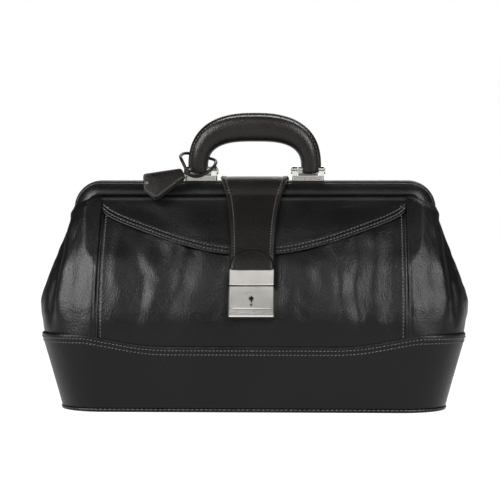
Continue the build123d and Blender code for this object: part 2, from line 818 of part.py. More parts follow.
with BuildPart() as handle_grip:
    add(handle_solid(leg_width, grip_depth - 2, grip_height, grip_depth + 2, grip_foot))
    add(spine_solid(spine_gap, grip_foot - 5), mode=Mode.SUBTRACT)
    for side in (-1, 1):
        with Locations((side * leg_at, handle_across, grip_foot)):
            Box(spine_sheet * 2 + 2 * spine_gap, 6 + 2 * spine_gap, 8, mode=Mode.SUBTRACT)
write(handle_grip.part, "handle_grip")

# ---- key fob: two layers of leather, sewn round the key

fob_lean = radians(30)
fob_plane = Plane(
    origin=(-66.0, -jaw_far - 8.6, frame_height + 5.5),
    x_dir=(1, 0, 0),
    z_dir=(0, -cos(fob_lean), sin(fob_lean)),
)
bell_axis = (-cos(radians(bell_turn)), -sin(radians(bell_turn)))


def bell_point(u, v):
    """A point of the fob's plane from its distance down the bell and its distance across."""
    ax, ay = bell_axis
    return (ax * u - ay * v, ay * u + ax * v)


def bell(low, thickness, inset, corner):
    """The bell's outline, from its neck to its rounded mouth, as a layer."""
    half = [(inset, bell_neck / 2 - inset), (bell_shoulder - inset, bell_mouth / 2 - inset)]
    with BuildPart() as block:
        with BuildSketch(fob_plane.offset(low)) as layer:
            with BuildLine():
                outline = half + [(bell_length - inset, 0)] + [(u, -v) for u, v in reversed(half)]
                Polyline(*[bell_point(u, v) for u, v in outline], close=True)
            make_face()
            fillet(layer.vertices(), corner)
        extrude(amount=thickness)
    return block.part


for low, name in ((0.0, "fob_back"), (bell_leather + bell_gap, "fob_front")):
    with BuildPart() as layer:
        add(bell(low, bell_leather, 0, 3.0))
    write(layer.part, name)

with BuildPart() as fob_seam:
    add(bell(bell_leather, bell_gap, 0.9, 2.0))
    add(bell(bell_leather, bell_gap, 3.1, 1.0), mode=Mode.SUBTRACT)
    with BuildSketch(fob_plane.offset(bell_leather)):
        with BuildLine():
            mouth = [(bell_shoulder - 1, -far), (bell_shoulder - 1, far), (far, far), (far, -far)]
            Polyline(*[bell_point(u, v) for u, v in mouth], close=True)
        make_face()
    extrude(amount=bell_gap, mode=Mode.SUBTRACT)
write(fob_seam.part, "fob_seam")

with BuildPart() as fob_stud:
    with BuildSketch(fob_plane.offset(2 * bell_leather + bell_gap)):
        with Locations(bell_point(bell_length - 5, -4)):
            Circle(1.7)
    extrude(amount=0.9)
write(fob_stud.part, "fob_stud")

with BuildPart() as key:
    with BuildSketch(fob_plane.offset(bell_leather + 0.5)):
        with Locations(bell_point(9, 0)):
            Circle(3.6)
        with BuildLine():
            shank = [(9, 0.8), (24, 0.8), (24, -3.6), (20.5, -3.6), (20.5, -0.8), (9, -0.8)]
            Polyline(*[bell_point(u, v) for u, v in shank], close=True)
        make_face()
        with Locations(bell_point(9, 0)):
            Circle(1.8, mode=Mode.SUBTRACT)
    extrude(amount=1.2)
write(key.part, "key")

# ---- lace: a loop round the handle's left leg

lace_points = [
    (-63.5, -28.1, 222.4),
    (-67.6, -25.6, 230.2),
    (-70.6, -15.5, 235.8),
    (-66.6, -3.8, 238.8),
    (-56.2, 3.2, 237.0),
    (-44.0, 1.6, 233.6),
    (-36.4, -8.0, 231.4),
    (-36.8, -19.8, 226.8),
    (-41.0, -27.0, 221.6),
    (-49.0, -30.0, 216.6),
    (-57.6, -30.6, 215.6),
    (-63.8, -29.2, 219.4),
]


def cord_radii(points):
    """The radius of the arc at each inner point, as large as its two runs allow."""
    radii = []
    for before, point, after in zip(points, points[1:], points[2:]):
        run_in = Vector(point) - Vector(before)
        run_out = Vector(after) - Vector(point)
        turn = radians(run_in.get_angle(run_out))
        radii.append(0.45 * min(run_in.length, run_out.length) / tan(turn / 2))
    return radii


lace_radii = cord_radii(lace_points)
with BuildPart() as lace:
    with BuildLine() as lace_path:
        FilletPolyline(*lace_points, radius=lace_radii)
    with BuildSketch(Plane(origin=lace_path.wires()[0] @ 0, z_dir=lace_path.wires()[0] % 0)):
        Circle(lace_diameter / 2)
    sweep()
write(lace.part, "lace")

with BuildPart() as lace_knot:
    knot_at = fob_plane.offset(bell_leather + bell_gap / 2).from_local_coords(bell_point(-3.6, 0))
    with Locations(knot_at):
        Sphere(3.0)
write(lace_knot.part, "lace_knot")

lace_length = sum(edge.length for edge in lace_path.edges())
print("lace length", round(lace_length, 1), "radii", [round(r, 1) for r in lace_radii])
print("lace volume ratio", lace.part.volume / (pi * lace_diameter**2 / 4 * lace_length))
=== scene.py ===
import bpy
import numpy as np
from math import cos, pi, radians, sin
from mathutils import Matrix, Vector


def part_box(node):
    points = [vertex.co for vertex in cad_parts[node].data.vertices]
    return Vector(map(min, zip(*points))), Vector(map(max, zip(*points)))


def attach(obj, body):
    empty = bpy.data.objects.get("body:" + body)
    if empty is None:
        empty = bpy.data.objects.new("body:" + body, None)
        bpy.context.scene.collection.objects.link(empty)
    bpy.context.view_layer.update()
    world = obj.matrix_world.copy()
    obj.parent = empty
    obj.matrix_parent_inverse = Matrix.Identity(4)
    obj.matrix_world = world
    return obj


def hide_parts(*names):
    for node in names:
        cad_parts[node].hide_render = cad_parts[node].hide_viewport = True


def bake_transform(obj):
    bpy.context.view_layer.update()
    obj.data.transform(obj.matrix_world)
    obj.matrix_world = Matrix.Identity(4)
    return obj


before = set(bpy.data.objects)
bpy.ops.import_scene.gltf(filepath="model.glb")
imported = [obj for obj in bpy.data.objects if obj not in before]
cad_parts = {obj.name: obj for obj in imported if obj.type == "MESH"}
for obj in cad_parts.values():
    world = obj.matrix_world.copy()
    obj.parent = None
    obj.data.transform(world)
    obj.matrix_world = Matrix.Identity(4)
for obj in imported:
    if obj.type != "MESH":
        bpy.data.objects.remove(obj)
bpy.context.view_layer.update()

# Shapes below are in millimetres in the bag's own frame; meshFrom turns them into metres
mm = 0.001

# Small tools for every piece


def smoothThrough(x, xs, ys):
    # Cubic Hermite through the points (xs, ys); slopes are the harmonic mean of the two runs, so nothing
    # overshoots
    x = np.asarray(x, float)
    xs, ys = np.array(xs, float), np.array(ys, float)
    runs = np.diff(ys) / np.diff(xs)
    slopes = np.zeros(len(xs))
    same = runs[:-1] * runs[1:] > 0
    slopes[1:-1][same] = 2 * runs[:-1][same] * runs[1:][same] / (runs[:-1] + runs[1:])[same]
    slopes[0], slopes[-1] = runs[0], runs[-1]
    i = np.clip(np.searchsorted(xs, x) - 1, 0, len(xs) - 2)
    h = xs[i + 1] - xs[i]
    t = np.clip((x - xs[i]) / h, 0, 1)
    return (
        ys[i] * (1 + 2 * t) * (1 - t) ** 2
        + slopes[i] * h * t * (1 - t) ** 2
        + ys[i + 1] * t * t * (3 - 2 * t)
        + slopes[i + 1] * h * t * t * (t - 1)
    )


def step(x, low, high):
    # 0 below low, 1 above high, a smooth cubic between
    t = np.clip((x - low) / (high - low), 0, 1)
    return t * t * (3 - 2 * t)


def hump(x, centre, width):
    # A bell curve, exp of minus the squared distance in widths
    return np.exp(-(((x - centre) / width) ** 2))


def softNoise(u, v, seed, size, count=14):
    # A sum of sine waves in seeded directions, about one unit high, with waves near the given size
    rng = np.random.default_rng(seed)
    total = 0
    for i in range(count):
        way, phase = rng.uniform(0, 2 * pi, 2)
        wave = 2 * pi / (size * rng.uniform(0.6, 1.9))
        total = total + np.sin(wave * (u * cos(way) + v * sin(way)) + phase) / count**0.5
    return total


def meshFrom(name, points, wrapU=False, wrapV=False, caps=False, flip=False):
    # points is an (n, m, 3) grid in millimetres; each cell is a quad, wrapU joins the first row to the last
    n, m = points.shape[:2]
    verts = points.reshape(-1, 3) * mm
    rows = np.arange(n if wrapU else n - 1)
    cols = np.arange(m if wrapV else m - 1)
    r, c = np.meshgrid(rows, cols, indexing="ij")
    r, c = r.ravel(), c.ravel()
    r2, c2 = (r + 1) % n, (c + 1) % m
    quads = np.stack([r * m + c, r * m + c2, r2 * m + c2, r2 * m + c], axis=1)
    if flip:
        quads = quads[:, ::-1]
    faces = quads.tolist()
    if caps:
        first, last = list(range(m)), list(range((n - 1) * m, n * m))
        faces += [first[::-1], last] if not flip else [first, last[::-1]]
    mesh = bpy.data.meshes.new(name)
    mesh.from_pydata(verts.tolist(), [], faces)
    # The UV map carries the grid's own lengths, so a pattern can follow the surface
    along = np.concatenate([[0], np.cumsum(np.linalg.norm(np.diff(points[:, m // 2], axis=0), axis=1))])
    across = np.concatenate([[0], np.cumsum(np.linalg.norm(np.diff(points[n // 2], axis=0), axis=1))])
    uv = np.stack(np.broadcast_arrays(across[None, :], along[:, None]), axis=-1).reshape(-1, 2) * 0.01
    loopVerts = np.empty(len(mesh.loops), dtype=np.int32)
    mesh.loops.foreach_get("vertex_index", loopVerts)
    mesh.uv_layers.new(name="surface").data.foreach_set("uv", uv[loopVerts].astype(np.float32).ravel())
    mesh.polygons.foreach_set("use_smooth", np.ones(len(mesh.polygons), dtype=bool))
    mesh.update()
    piece = bpy.data.objects.new(name, mesh)
    bpy.context.collection.objects.link(piece)
    return piece


def thicken(piece, thickness, roundEdge=0.0, segments=3, smooth=0):
    # Leather grows inwards from its outer face; its cut edges are rounded over
    solid = piece.modifiers.new("thickness", "SOLIDIFY")
    solid.thickness = thickness * mm
    solid.offset = -1
    if roundEdge:
        bevel = piece.modifiers.new("edge", "BEVEL")
        bevel.width = roundEdge * mm
        bevel.segments = segments
        bevel.limit_method = "ANGLE"
        bevel.angle_limit = radians(50)
    if smooth:
        sub = piece.modifiers.new("smooth", "SUBSURF")
        sub.levels = smooth
        sub.render_levels = smooth
    return piece


def dress(piece, material, body=None):
    piece.data.materials.clear()
    piece.data.materials.append(material)
    if body:
        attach(piece, body)
    return piece


def unit(v):
    return v / np.maximum(np.linalg.norm(v, axis=-1, keepdims=True), 1e-9)


def stitchRow(points, normals, gap=3.4, length=2.5, width=0.95, slant=0.25):
    # Stitches at an even gap along a line: each is a small slanted ellipsoid half sunk in the leather
    points = np.asarray(points, float)
    normals = unit(np.asarray(normals, float))
    lengths = np.concatenate([[0], np.cumsum(np.linalg.norm(np.diff(points, axis=0), axis=1))])
    at = np.arange(gap / 2, lengths[-1], gap)
    centre = np.stack([np.interp(at, lengths, points[:, k]) for k in range(3)], axis=1)
    up = unit(np.stack([np.interp(at, lengths, normals[:, k]) for k in range(3)], axis=1))
    tangent = unit(np.stack([np.interp(at, lengths, np.gradient(points[:, k])) for k in range(3)], axis=1))
    side = unit(np.cross(up, tangent))
    tangent = unit(tangent + slant * side)
    side = np.cross(up, tangent)
    ring = np.linspace(0, 2 * pi, 6, endpoint=False)
    lat = np.array([-0.92, -0.5, 0.0, 0.5, 0.92])
    shape = np.sqrt(1 - lat**2)
    local = np.stack(
        np.broadcast_arrays(
            lat[:, None] * length / 2, shape[:, None] * np.cos(ring) * width / 2,
            shape[:, None] * np.sin(ring) * width / 2,
        ),
        axis=-1,
    )
    verts = (
        centre[:, None, None]
        + local[None, ..., 0:1] * tangent[:, None, None]
        + local[None, ..., 1:2] * side[:, None, None]
        + local[None, ..., 2:3] * up[:, None, None]
    )
    rings, around = len(lat), len(ring)
    r, c = np.meshgrid(np.arange(rings - 1), np.arange(around), indexing="ij")
    quads = np.stack(
        [
            r * around + c, r * around + (c + 1) % around, (r + 1) * around + (c + 1) % around,
            (r + 1) * around + c,
        ],
        axis=-1,
    )
    quads = quads.reshape(-1, 4)
    offset = np.arange(len(at))[:, None, None] * rings * around
    faces = (quads[None] + offset).reshape(-1, 4).tolist()
    capLow = (np.arange(around)[::-1][None] + offset[:, 0]).tolist()
    capHigh = (np.arange(around)[None] + (rings - 1) * around + offset[:, 0]).tolist()
    return verts.reshape(-1, 3), faces + capLow + capHigh


def stitchPiece(name, rows, body=None):
    # Joins rows of stitches into one piece; each row is (points, normals, settings)
    verts, faces, count = [], [], 0
    for points, normals, settings in rows:
        rowVerts, rowFaces = stitchRow(points, normals, **settings)
        verts.append(rowVerts)
        faces += [[i + count for i in face] for face in rowFaces]
        count += len(rowVerts)
    mesh = bpy.data.meshes.new(name)
    mesh.from_pydata((np.concatenate(verts) * mm).tolist(), [], faces)
    mesh.polygons.foreach_set("use_smooth", np.ones(len(mesh.polygons), dtype=bool))
    mesh.update()
    piece = bpy.data.objects.new(name, mesh)
    bpy.context.collection.objects.link(piece)
    dress(piece, threadMaterial)
    if body:
        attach(piece, body)
    return piece


# Materials


def newMaterial(name):
    material = bpy.data.materials.new(name)
    material.use_nodes = True
    tree = material.node_tree
    shader = tree.nodes["Principled BSDF"]
    where = tree.nodes.new("ShaderNodeTexCoord")
    return material, tree, shader, where.outputs["Object"]


def noise(tree, where, scale, detail=2.0, roughness=0.5):
    node = tree.nodes.new("ShaderNodeTexNoise")
    node.inputs["Scale"].default_value = scale
    node.inputs["Detail"].default_value = detail
    node.inputs["Roughness"].default_value = roughness
    tree.links.new(where, node.inputs["Vector"])
    return node.outputs["Fac"]


def ramp(tree, value, low, high, start=0.35, end=0.65):
    node = tree.nodes.new("ShaderNodeValToRGB")
    node.color_ramp.elements[0].position = start
    node.color_ramp.elements[1].position = end
    node.color_ramp.elements[0].color = (*low, 1)
    node.color_ramp.elements[1].color = (*high, 1)
    tree.links.new(value, node.inputs["Fac"])
    return node.outputs["Color"]


def span(tree, value, low, high, start=0.3, end=0.7):
    node = tree.nodes.new("ShaderNodeMapRange")
    node.inputs["From Min"].default_value = start
    node.inputs["From Max"].default_value = end
    node.inputs["To Min"].default_value = low
    node.inputs["To Max"].default_value = high
    tree.links.new(value, node.inputs["Value"])
    return node.outputs["Result"]


def leather(name, look):
    # Calf leather: fine pebbled grain over soft wrinkles, and a slow drift of colour and polish
    material, tree, shader, where = newMaterial(name)
    cloudy = noise(tree, where, look["cloud"], 3)
    tree.links.new(ramp(tree, cloudy, look["dark"], look["light"]), shader.inputs["Base Color"])
    polish = noise(tree, where, look["cloud"] * 2.3, 4, 0.6)
    tree.links.new(span(tree, polish, look["rough"] - 0.05, look["rough"] + 0.07), shader.inputs["Roughness"])
    grains = tree.nodes.new("ShaderNodeTexVoronoi")
    grains.inputs["Scale"].default_value = look["grain"]
    tree.links.new(where, grains.inputs["Vector"])
    previous = None
    bumps = (
        (grains.outputs["Distance"], look["grainDepth"], 0.0004),
        (noise(tree, where, look["pores"], 3, 0.65), look["poreDepth"], 0.0007),
        (noise(tree, where, look["wrinkle"], 5, 0.62), look["wrinkleDepth"], 0.0012),
    )
    for height, strength, distance in bumps:
        bump = tree.nodes.new("ShaderNodeBump")
        bump.inputs["Strength"].default_value = strength
        bump.inputs["Distance"].default_value = distance
        tree.links.new(height, bump.inputs["Height"])
        if previous:
            tree.links.new(previous, bump.inputs["Normal"])
        previous = bump.outputs["Normal"]
    tree.links.new(previous, shader.inputs["Normal"])
    shader.inputs["Specular IOR Level"].default_value = look["shine"]
    return material


blackLook = {
    "dark": (0.0005, 0.0005, 0.0006), "light": (0.0014, 0.0014, 0.0014), "cloud": 9.0, "rough": 0.37,
    "grain": 800.0, "grainDepth": 0.42, "pores": 420.0, "poreDepth": 0.34,
    "wrinkle": 55.0, "wrinkleDepth": 0.26, "shine": 0.22,
}
strapLook = {
    **blackLook, "dark": (0.0020, 0.0015, 0.0012), "light": (0.0038, 0.0029, 0.0023), "rough": 0.37,
    "shine": 0.17,
}
handleLook = {
    **blackLook, "dark": (0.0040, 0.0032, 0.0027), "light": (0.0075, 0.0061, 0.0052), "rough": 0.30,
    "wrinkleDepth": 0.08,
}
blackLeather = leather("black_calf", blackLook)
strapLeather = leather("strap_calf", strapLook)
handleLeather = leather("handle_calf", handleLook)
fobLeather = leather("fob_calf", {**strapLook, "rough": 0.34})


def threadFinish():
    material, tree, shader, where = newMaterial("waxed_thread")
    tree.links.new(
        ramp(tree, noise(tree, where, 900), (0.02, 0.019, 0.018), (0.06, 0.058, 0.055)),
        shader.inputs["Base Color"],
    )
    shader.inputs["Roughness"].default_value = 0.42
    return material


threadMaterial = threadFinish()


def metal(name, look):
    # Plated metal: a slow change of polish, and fine brushed scratches along X
    material, tree, shader, where = newMaterial(name)
    shader.inputs["Metallic"].default_value = 1.0
    tree.links.new(
        ramp(tree, noise(tree, where, 40), look["dark"], look["light"]), shader.inputs["Base Color"],
    )
    stretch = tree.nodes.new("ShaderNodeMapping")
    stretch.inputs["Scale"].default_value = (0.03, 1, 1)
    tree.links.new(where, stretch.inputs["Vector"])
    scratches = noise(tree, stretch.outputs["Vector"], 5200, 2)
    tree.links.new(span(tree, scratches, look["rough"], look["rough"] + 0.08), shader.inputs["Roughness"])
    bump = tree.nodes.new("ShaderNodeBump")
    bump.inputs["Strength"].default_value = look["brush"]
    bump.inputs["Distance"].default_value = 0.00005
    tree.links.new(scratches, bump.inputs["Height"])
    tree.links.new(bump.outputs["Normal"], shader.inputs["Normal"])
    return material


nickel = metal(
    "nickel_plate", {"dark": (0.66, 0.64, 0.60), "light": (0.78, 0.76, 0.72), "rough": 0.17, "brush": 0.25},
)
frameSteel = metal(
    "frame_steel", {"dark": (0.42, 0.42, 0.42), "light": (0.52, 0.52, 0.51), "rough": 0.3, "brush": 0.4},
)


def cloth(name, look):
    # Plain weave: two crossed waves of thread, lighter where a thread comes to the top; the colour is painted
    # shade from the weave's height, darker in the hollows between threads
    material, tree, shader, where = newMaterial(name)
    waves = []
    for axis in ("X", "Z"):
        wave = tree.nodes.new("ShaderNodeTexWave")
        wave.bands_direction = axis
        wave.inputs["Scale"].default_value = look["threads"]
        wave.inputs["Distortion"].default_value = 1.5
        wave.inputs["Detail"].default_value = 1.0
        tree.links.new(where, wave.inputs["Vector"])
        waves.append(wave.outputs["Fac"])
    both = tree.nodes.new("ShaderNodeMath")
    both.operation = "MULTIPLY"
    tree.links.new(waves[0], both.inputs[0])
    tree.links.new(waves[1], both.inputs[1])
    # Painted shade: the base colour darkens where the weave's height is low, in the hollows between threads
    tree.links.new(
        ramp(tree, both.outputs["Value"], look["dark"], look["light"], 0.0, 0.8),
        shader.inputs["Base Color"],
    )
    bump = tree.nodes.new("ShaderNodeBump")
    bump.inputs["Strength"].default_value = 0.4
    bump.inputs["Distance"].default_value = 0.0003
    tree.links.new(both.outputs["Value"], bump.inputs["Height"])
    tree.links.new(bump.outputs["Normal"], shader.inputs["Normal"])
    shader.inputs["Roughness"].default_value = 0.85
    shader.inputs["Sheen Weight"].default_value = 0.3
    return material


liningCloth = cloth(
    "lining_cotton", {"threads": 260.0, "dark": (0.10, 0.072, 0.045), "light": (0.24, 0.18, 0.12)},
)
boardFinish = cloth(
    "fibre_board", {"threads": 90.0, "dark": (0.05, 0.042, 0.035), "light": (0.09, 0.076, 0.062)},
)
print("materials made")

# The body's shape: plan half length and half depth at each height, outside the leather

bodyShape = {
    "height": [40, 50, 72, 81, 90, 98, 107, 115, 124, 133, 141, 150, 159, 167, 176, 184, 190, 198, 206],
    "halfLength": [
        182.5, 186.5, 194.6, 197.4, 199.9, 200.2, 198.2, 195.0, 191.8, 188.3,
        185.2, 182.1, 179.1, 176.5, 174.6, 174.4, 173.6, 171.8, 170.6,
    ],
    "halfDepth": [
        86.3, 88.5, 92.4, 92.6, 91.2, 88.8, 85.4, 82.3, 78.6, 74.6, 70.0, 63.6, 57.2, 51.2, 43.6, 36.6,
        31.6, 25.0, 19.6,
    ],
    "corner": [47, 49, 54, 55, 55, 54, 51, 47, 44, 41, 38, 34, 31, 27, 23, 20, 19, 14, 9],
    "seam": 142.0,
}


def bodyAt(z, key):
    return smoothThrough(z, bodyShape["height"], bodyShape[key])


# Soft creases: x at the foot, x at the top, width and height of each
frontCreases = [
    (-131, -120, 8, 1.5), (-112, -92, 7, -1.9), (-97, -74, 8, 1.9), (-74, -58, 7, -1.4), (-52, -44, 9, 1.0),
    (44, 38, 9, 1.0), (60, 50, 7, -1.4), (86, 70, 8, 1.8), (99, 93, 6, -1.5), (122, 112, 8, 1.7),
    (134, 131, 5, -1.0),
]
rearCreases = [
    (-110, -96, 14, 1.4), (-52, -60, 13, -1.5), (8, 2, 16, 1.3), (66, 58, 12, -1.4), (112, 104, 13, 1.5),
]


def panelDepth(x, z, creases, seed, foot=58.0, top=188.0):
    # Half depth of the body, plus leaning ridges and slow waves that fade towards the band, the frame and
    # the seams
    rise = (z - foot) / (top - foot)
    fade = step(z, foot + 4, foot + 34) * (1 - step(z, top - 34, top)) * (1 - step(np.abs(x), 128, 140))
    bent = x + 5.0 * softNoise(x, z, seed + 1, 60)
    grown = 0.75 + 0.45 * softNoise(x * 0.6, z, seed + 2, 34)
    ripple = sum(
        height * hump(bent, low + (high - low) * rise, width) for low, high, width, height in creases
    )
    ripple = 0.7 * ripple * grown + 0.5 * softNoise(x * 1.5 + z * 0.3, z * 0.7, seed, 50)
    ripple = ripple + 0.09 * softNoise(x, z, seed + 3, 14)
    groove = 0.7 * hump(np.abs(x), bodyShape["seam"] - 2.6, 1.3)
    return bodyAt(z, "halfDepth") + ripple * fade - groove


def panel(name, side, creases, low, high, nx=230, nz=110):
    x = np.linspace(-bodyShape["seam"] + 0.6, bodyShape["seam"] - 0.6, nx)
    z = np.linspace(low, high, nz)
    zz, xx = np.meshgrid(z, x, indexing="ij")
    yy = side * panelDepth(xx, zz, creases, 5 if side < 0 else 9)
    return meshFrom(name, np.stack([xx, yy, zz], axis=-1), flip=side > 0)


pocketPanel = thicken(panel("pocketPanel", -1, frontCreases, 52, 178), 1.8)
dress(pocketPanel, blackLeather, "bag")
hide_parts("pocket_panel")

rearPanel = thicken(panel("rearPanel", 1, rearCreases, 52, 205, nz=90), 1.8)
dress(rearPanel, blackLeather)
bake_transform(rearPanel)
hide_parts("rear_panel", "rear_yoke")


def endPlan(side, z):
    # From the front seam round the end to the rear seam. Depth share d gives length share: a round corner
    # beside the band, and higher up a flat run by the seam, a bend, and a straight side
    a, b = bodyAt(z, "halfLength"), bodyAt(z, "halfDepth")
    seam = bodyShape["seam"] + 0.6
    d = np.linspace(0, 1, 120) ** 2
    rounded = np.sqrt(1 - (1 - np.minimum(d * b / bodyAt(z, "corner"), 1)) ** 2)
    flat = smoothThrough(d, [0, 0.13, 0.33, 0.6, 1], [0, 0.55, 0.85, 0.97, 1])
    mix = step(z, 66, 88)
    half = np.stack([seam + (a - seam) * (rounded + (flat - rounded) * mix), -b * (1 - d)], axis=-1)
    plan = np.concatenate([half, half[::-1][1:] * [1, -1]])
    lengths = np.concatenate([[0], np.cumsum(np.linalg.norm(np.diff(plan, axis=0), axis=1))])
    # Points crowd towards the corners, where the leather is gathered
    share = np.linspace(0, 1, 141)
    share = share - 0.035 * np.sin(4 * pi * share)
    along = share * lengths[-1]
    plan = np.stack([np.interp(along, lengths, plan[:, k]) for k in (0, 1)], axis=-1)
    tangent = np.gradient(plan, axis=0)
    normal = unit(np.stack([tangent[:, 1], -tangent[:, 0]], axis=-1))
    away = np.minimum(along, lengths[-1] - along)
    plan = plan + normal * endBulge(away, share, z, plan[:, 1] > 0)[:, None]
    return np.stack([side * plan[:, 0], plan[:, 1], np.full(len(plan), z)], axis=-1)


# Each fold of an end: distance from the seam, width, height
endShape = {
    "puff": (14, 9, 0.6), "ridge": (34, 7, 1.9), "fold": (47, 7, 3.2), "hollow": 3.0, "groove": 0.6,
    "topX": [141, 148, 158, 168, 176, 200], "topZ": [200.5, 198.2, 192.6, 188.2, 186.0, 186.0],
    "foot": 52, "rim": 186.0, "leather": 1.7,
}


def endBulge(away, share, z, rear):
    # By the distance from the nearer seam: a puffed run, a ridge, a deep fold, and ripples past it
    s = endShape
    body = step(z, 70, 94) * (1 - step(z, 160, 186))
    lean = away + 0.07 * (z - 120) * (1 - 0.5 * rear)
    puff, ridge, fold = (high * hump(lean, at, wide) for at, wide, high in (s["puff"], s["ridge"], s["fold"]))
    fork = 1.2 * hump(away, 30 + 0.22 * (136 - z), 4.5) * step(z, 92, 108) * (1 - step(z, 126, 140))
    hollow = -s["hollow"] * hump(share, 0.5, 0.11) * step(z, 110, 175)
    rippled = hump(away, 58, 9) * step(z, 105, 118) * (1 - step(z, 138, 152))
    ripples = 0.3 * np.sin(z * 0.5 + away * 0.25) * rippled
    waves = 0.5 * softNoise(share * 230, z * 0.8, 21, 44) + 0.12 * softNoise(share * 230, z, 22, 16)
    pinned = step(away, 0, 8)
    groove = s["groove"] * hump(away, 1.8, 1.1)
    return ((puff + ridge - fold) * body + fork + hollow + ripples + waves * body) * pinned - groove


def endTop(x):
    # Height of the ends' top edge: level with the crease at the seams, lower over the frame's legs
    return smoothThrough(np.abs(x), endShape["topX"], endShape["topZ"])


for side, hand in ((-1, "left"), (1, "right")):
    share = np.concatenate([np.linspace(0, 0.93, 100), np.linspace(0.935, 1, 14)])
    plain = endPlan(side, 185.0)
    top = endTop(plain[:, 0])
    foot = endShape["foot"]
    rows = []
    for t in share:
        row = endPlan(side, foot + (endShape["rim"] - foot) * t)
        lifted = foot + (top - foot) * t
        depth = np.minimum(np.abs(row[:, 1]), bodyAt(lifted, "halfDepth") + 2.5)
        tuck = 2.6 * step(lifted, top - 7, top)
        row[:, 1] = np.sign(row[:, 1]) * np.maximum(depth - tuck * (np.abs(row[:, 1]) > 12), 0)
        row[:, 0] -= side * tuck * step(np.abs(row[:, 0]), 166, 173)
        row[:, 2] = lifted
        rows.append(row)
    end = thicken(meshFrom(hand + "End", np.stack(rows), flip=side > 0), endShape["leather"])
    dress(end, blackLeather)
    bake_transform(end)
    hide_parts(hand + "_gusset", hand + "_gusset_fold")


def roundPlan(a, b, r, nx=60, na=16, ny=20):
    # A closed rounded rectangle from the middle of the front, going round by the right
    ones = np.ones
    ang = np.linspace(-90, 0, na, endpoint=False)
    halfX, fullY = np.linspace(0, 1, nx // 2, endpoint=False), np.linspace(-1, 1, ny, endpoint=False)
    cx = np.concatenate(
        [
            halfX, ones(na), ones(ny), ones(na), np.linspace(1, -1, nx, endpoint=False), -ones(na),
            -ones(ny), -ones(na), np.linspace(-1, 0, nx // 2, endpoint=False),
        ]
    )
    cy = np.concatenate(
        [-ones(nx // 2), -ones(na), fullY, ones(na), ones(nx), ones(na), -fullY, -ones(na), -ones(nx // 2)]
    )
    turn = np.concatenate(
        [
            np.full(nx // 2, -90.0), ang, np.zeros(ny), ang + 90, np.full(nx, 90.0), ang + 180,
            np.full(ny, 180.0), ang + 270, np.full(nx // 2, 270.0),
        ]
    )
    turn = np.radians(turn)
    return np.stack([cx * (a - r) + r * np.cos(turn), cy * (b - r) + r * np.sin(turn)], axis=-1)


bandShape = {
    "ground": 3.6, "footLength": 178.2, "footDepth": 83.0, "footCorner": 42,
    "slopeLength": 0.21, "flare": 0.085, "slopeDepth": 0.162, "endTop": 71.5, "middleTop": 60.8,
    "stitchDrops": (3.6, 7.4), "leather": 1.2,
}


def bandTop(x):
    return smoothThrough(
        np.abs(x), [0, 70, 82, 95, 108, 121, 132, 142, 210],
        [
            bandShape["middleTop"], bandShape["middleTop"], 61.2, 62.5, 64.8, 67.6, 69.9,
            bandShape["endTop"], bandShape["endTop"],
        ],
    )


def bandSurface(out=0.0, rows=44):
    share = np.linspace(0, 1, rows)[:, None]
    s = bandShape
    base = roundPlan(s["footLength"], s["footDepth"], s["footCorner"])
    z = s["ground"] + (bandTop(base[:, 0]) - s["ground"]) * share
    grid = np.empty((rows, len(base), 3))
    # A slight belly, and the last few millimetres rolled in over the hem
    belly = 0.7 * np.sin(share * pi) - 1.0 * step(share, 0.96, 1.0)
    tops = roundPlan(
        s["footLength"] + 100 * s["slopeLength"], s["footDepth"] + 100 * s["slopeDepth"],
        s["footCorner"] + 6,
    )
    lean = (tops - base) / 100
    normal = unit(np.stack([np.gradient(base[:, 1]), -np.gradient(base[:, 0])], axis=-1))
    grid[..., :2] = base + lean * z[..., None] + normal * (belly + out)[..., None]
    # The ends flare out with the square of the height
    grid[..., 0] += s["flare"] * 0.01 * z**2 * base[:, 0] / s["footLength"]
    grid[..., 2] = z
    return grid, np.concatenate([normal, np.full((len(base), 1), -0.25)], axis=1)


bandGrid, bandNormals = bandSurface()
baseBand = thicken(meshFrom("baseBand", bandGrid, wrapV=True), bandShape["leather"], 0.5, 3)
dress(baseBand, blackLeather, "bag")
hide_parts("base_band")


def bandLine(drop):
    # A closed line round the band at a distance below its top edge
    grid, normals = bandSurface(out=0.15, rows=60)
    z = bandTop(grid[0, :, 0]) - drop
    share = (z - grid[0, :, 2]) / (grid[-1, :, 2] - grid[0, :, 2]) * 59
    i = np.clip(share.astype(int), 0, 58)
    f = (share - i)[:, None]
    cols = np.arange(grid.shape[1])
    line = grid[i, cols] * (1 - f) + grid[i + 1, cols] * f
    return np.concatenate([line, line[:1]]), np.concatenate([normals, normals[:1]])


stitchPiece("bandStitches", [(*bandLine(drop), {}) for drop in bandShape["stitchDrops"]], "bag")

soleShape = {"lip": 2.2, "height": 3.6, "round": 1.5}


def soleSolid():
    # A flat bottom with a rounded sewn edge that stands out round the band's foot
    s = soleShape
    a = bandShape["footLength"] + s["lip"] - 2.6
    b = bandShape["footDepth"] + s["lip"] - 2.6
    r = bandShape["footCorner"]
    turn = np.linspace(-90, 90, 9)
    rows = [roundPlan(a + s["round"] * cos(radians(t)), b + s["round"] * cos(radians(t)), r) for t in turn]
    z = s["height"] / 2 + (s["height"] / 2) * np.sin(np.radians(turn))
    return np.stack([np.concatenate([row, np.full((len(row), 1), h)], axis=1) for row, h in zip(rows, z)])


soleGrid = soleSolid()
sole = dress(meshFrom("soleLeather", soleGrid, wrapV=True, caps=True), blackLeather, "bag")
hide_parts("sole")
soleLine = np.concatenate([soleGrid[5], soleGrid[5][:1]])
soleOut = np.concatenate([bandNormals, bandNormals[:1]]) * [1, 1, 0]
stitchPiece(
    "soleStitches", [(soleLine, soleOut, {"gap": 4.2, "length": 2.9, "width": 1.0, "slant": 0.1})], "bag",
)
print("body made")

# Seams beside the panels: a folded welt between two rows of stitches


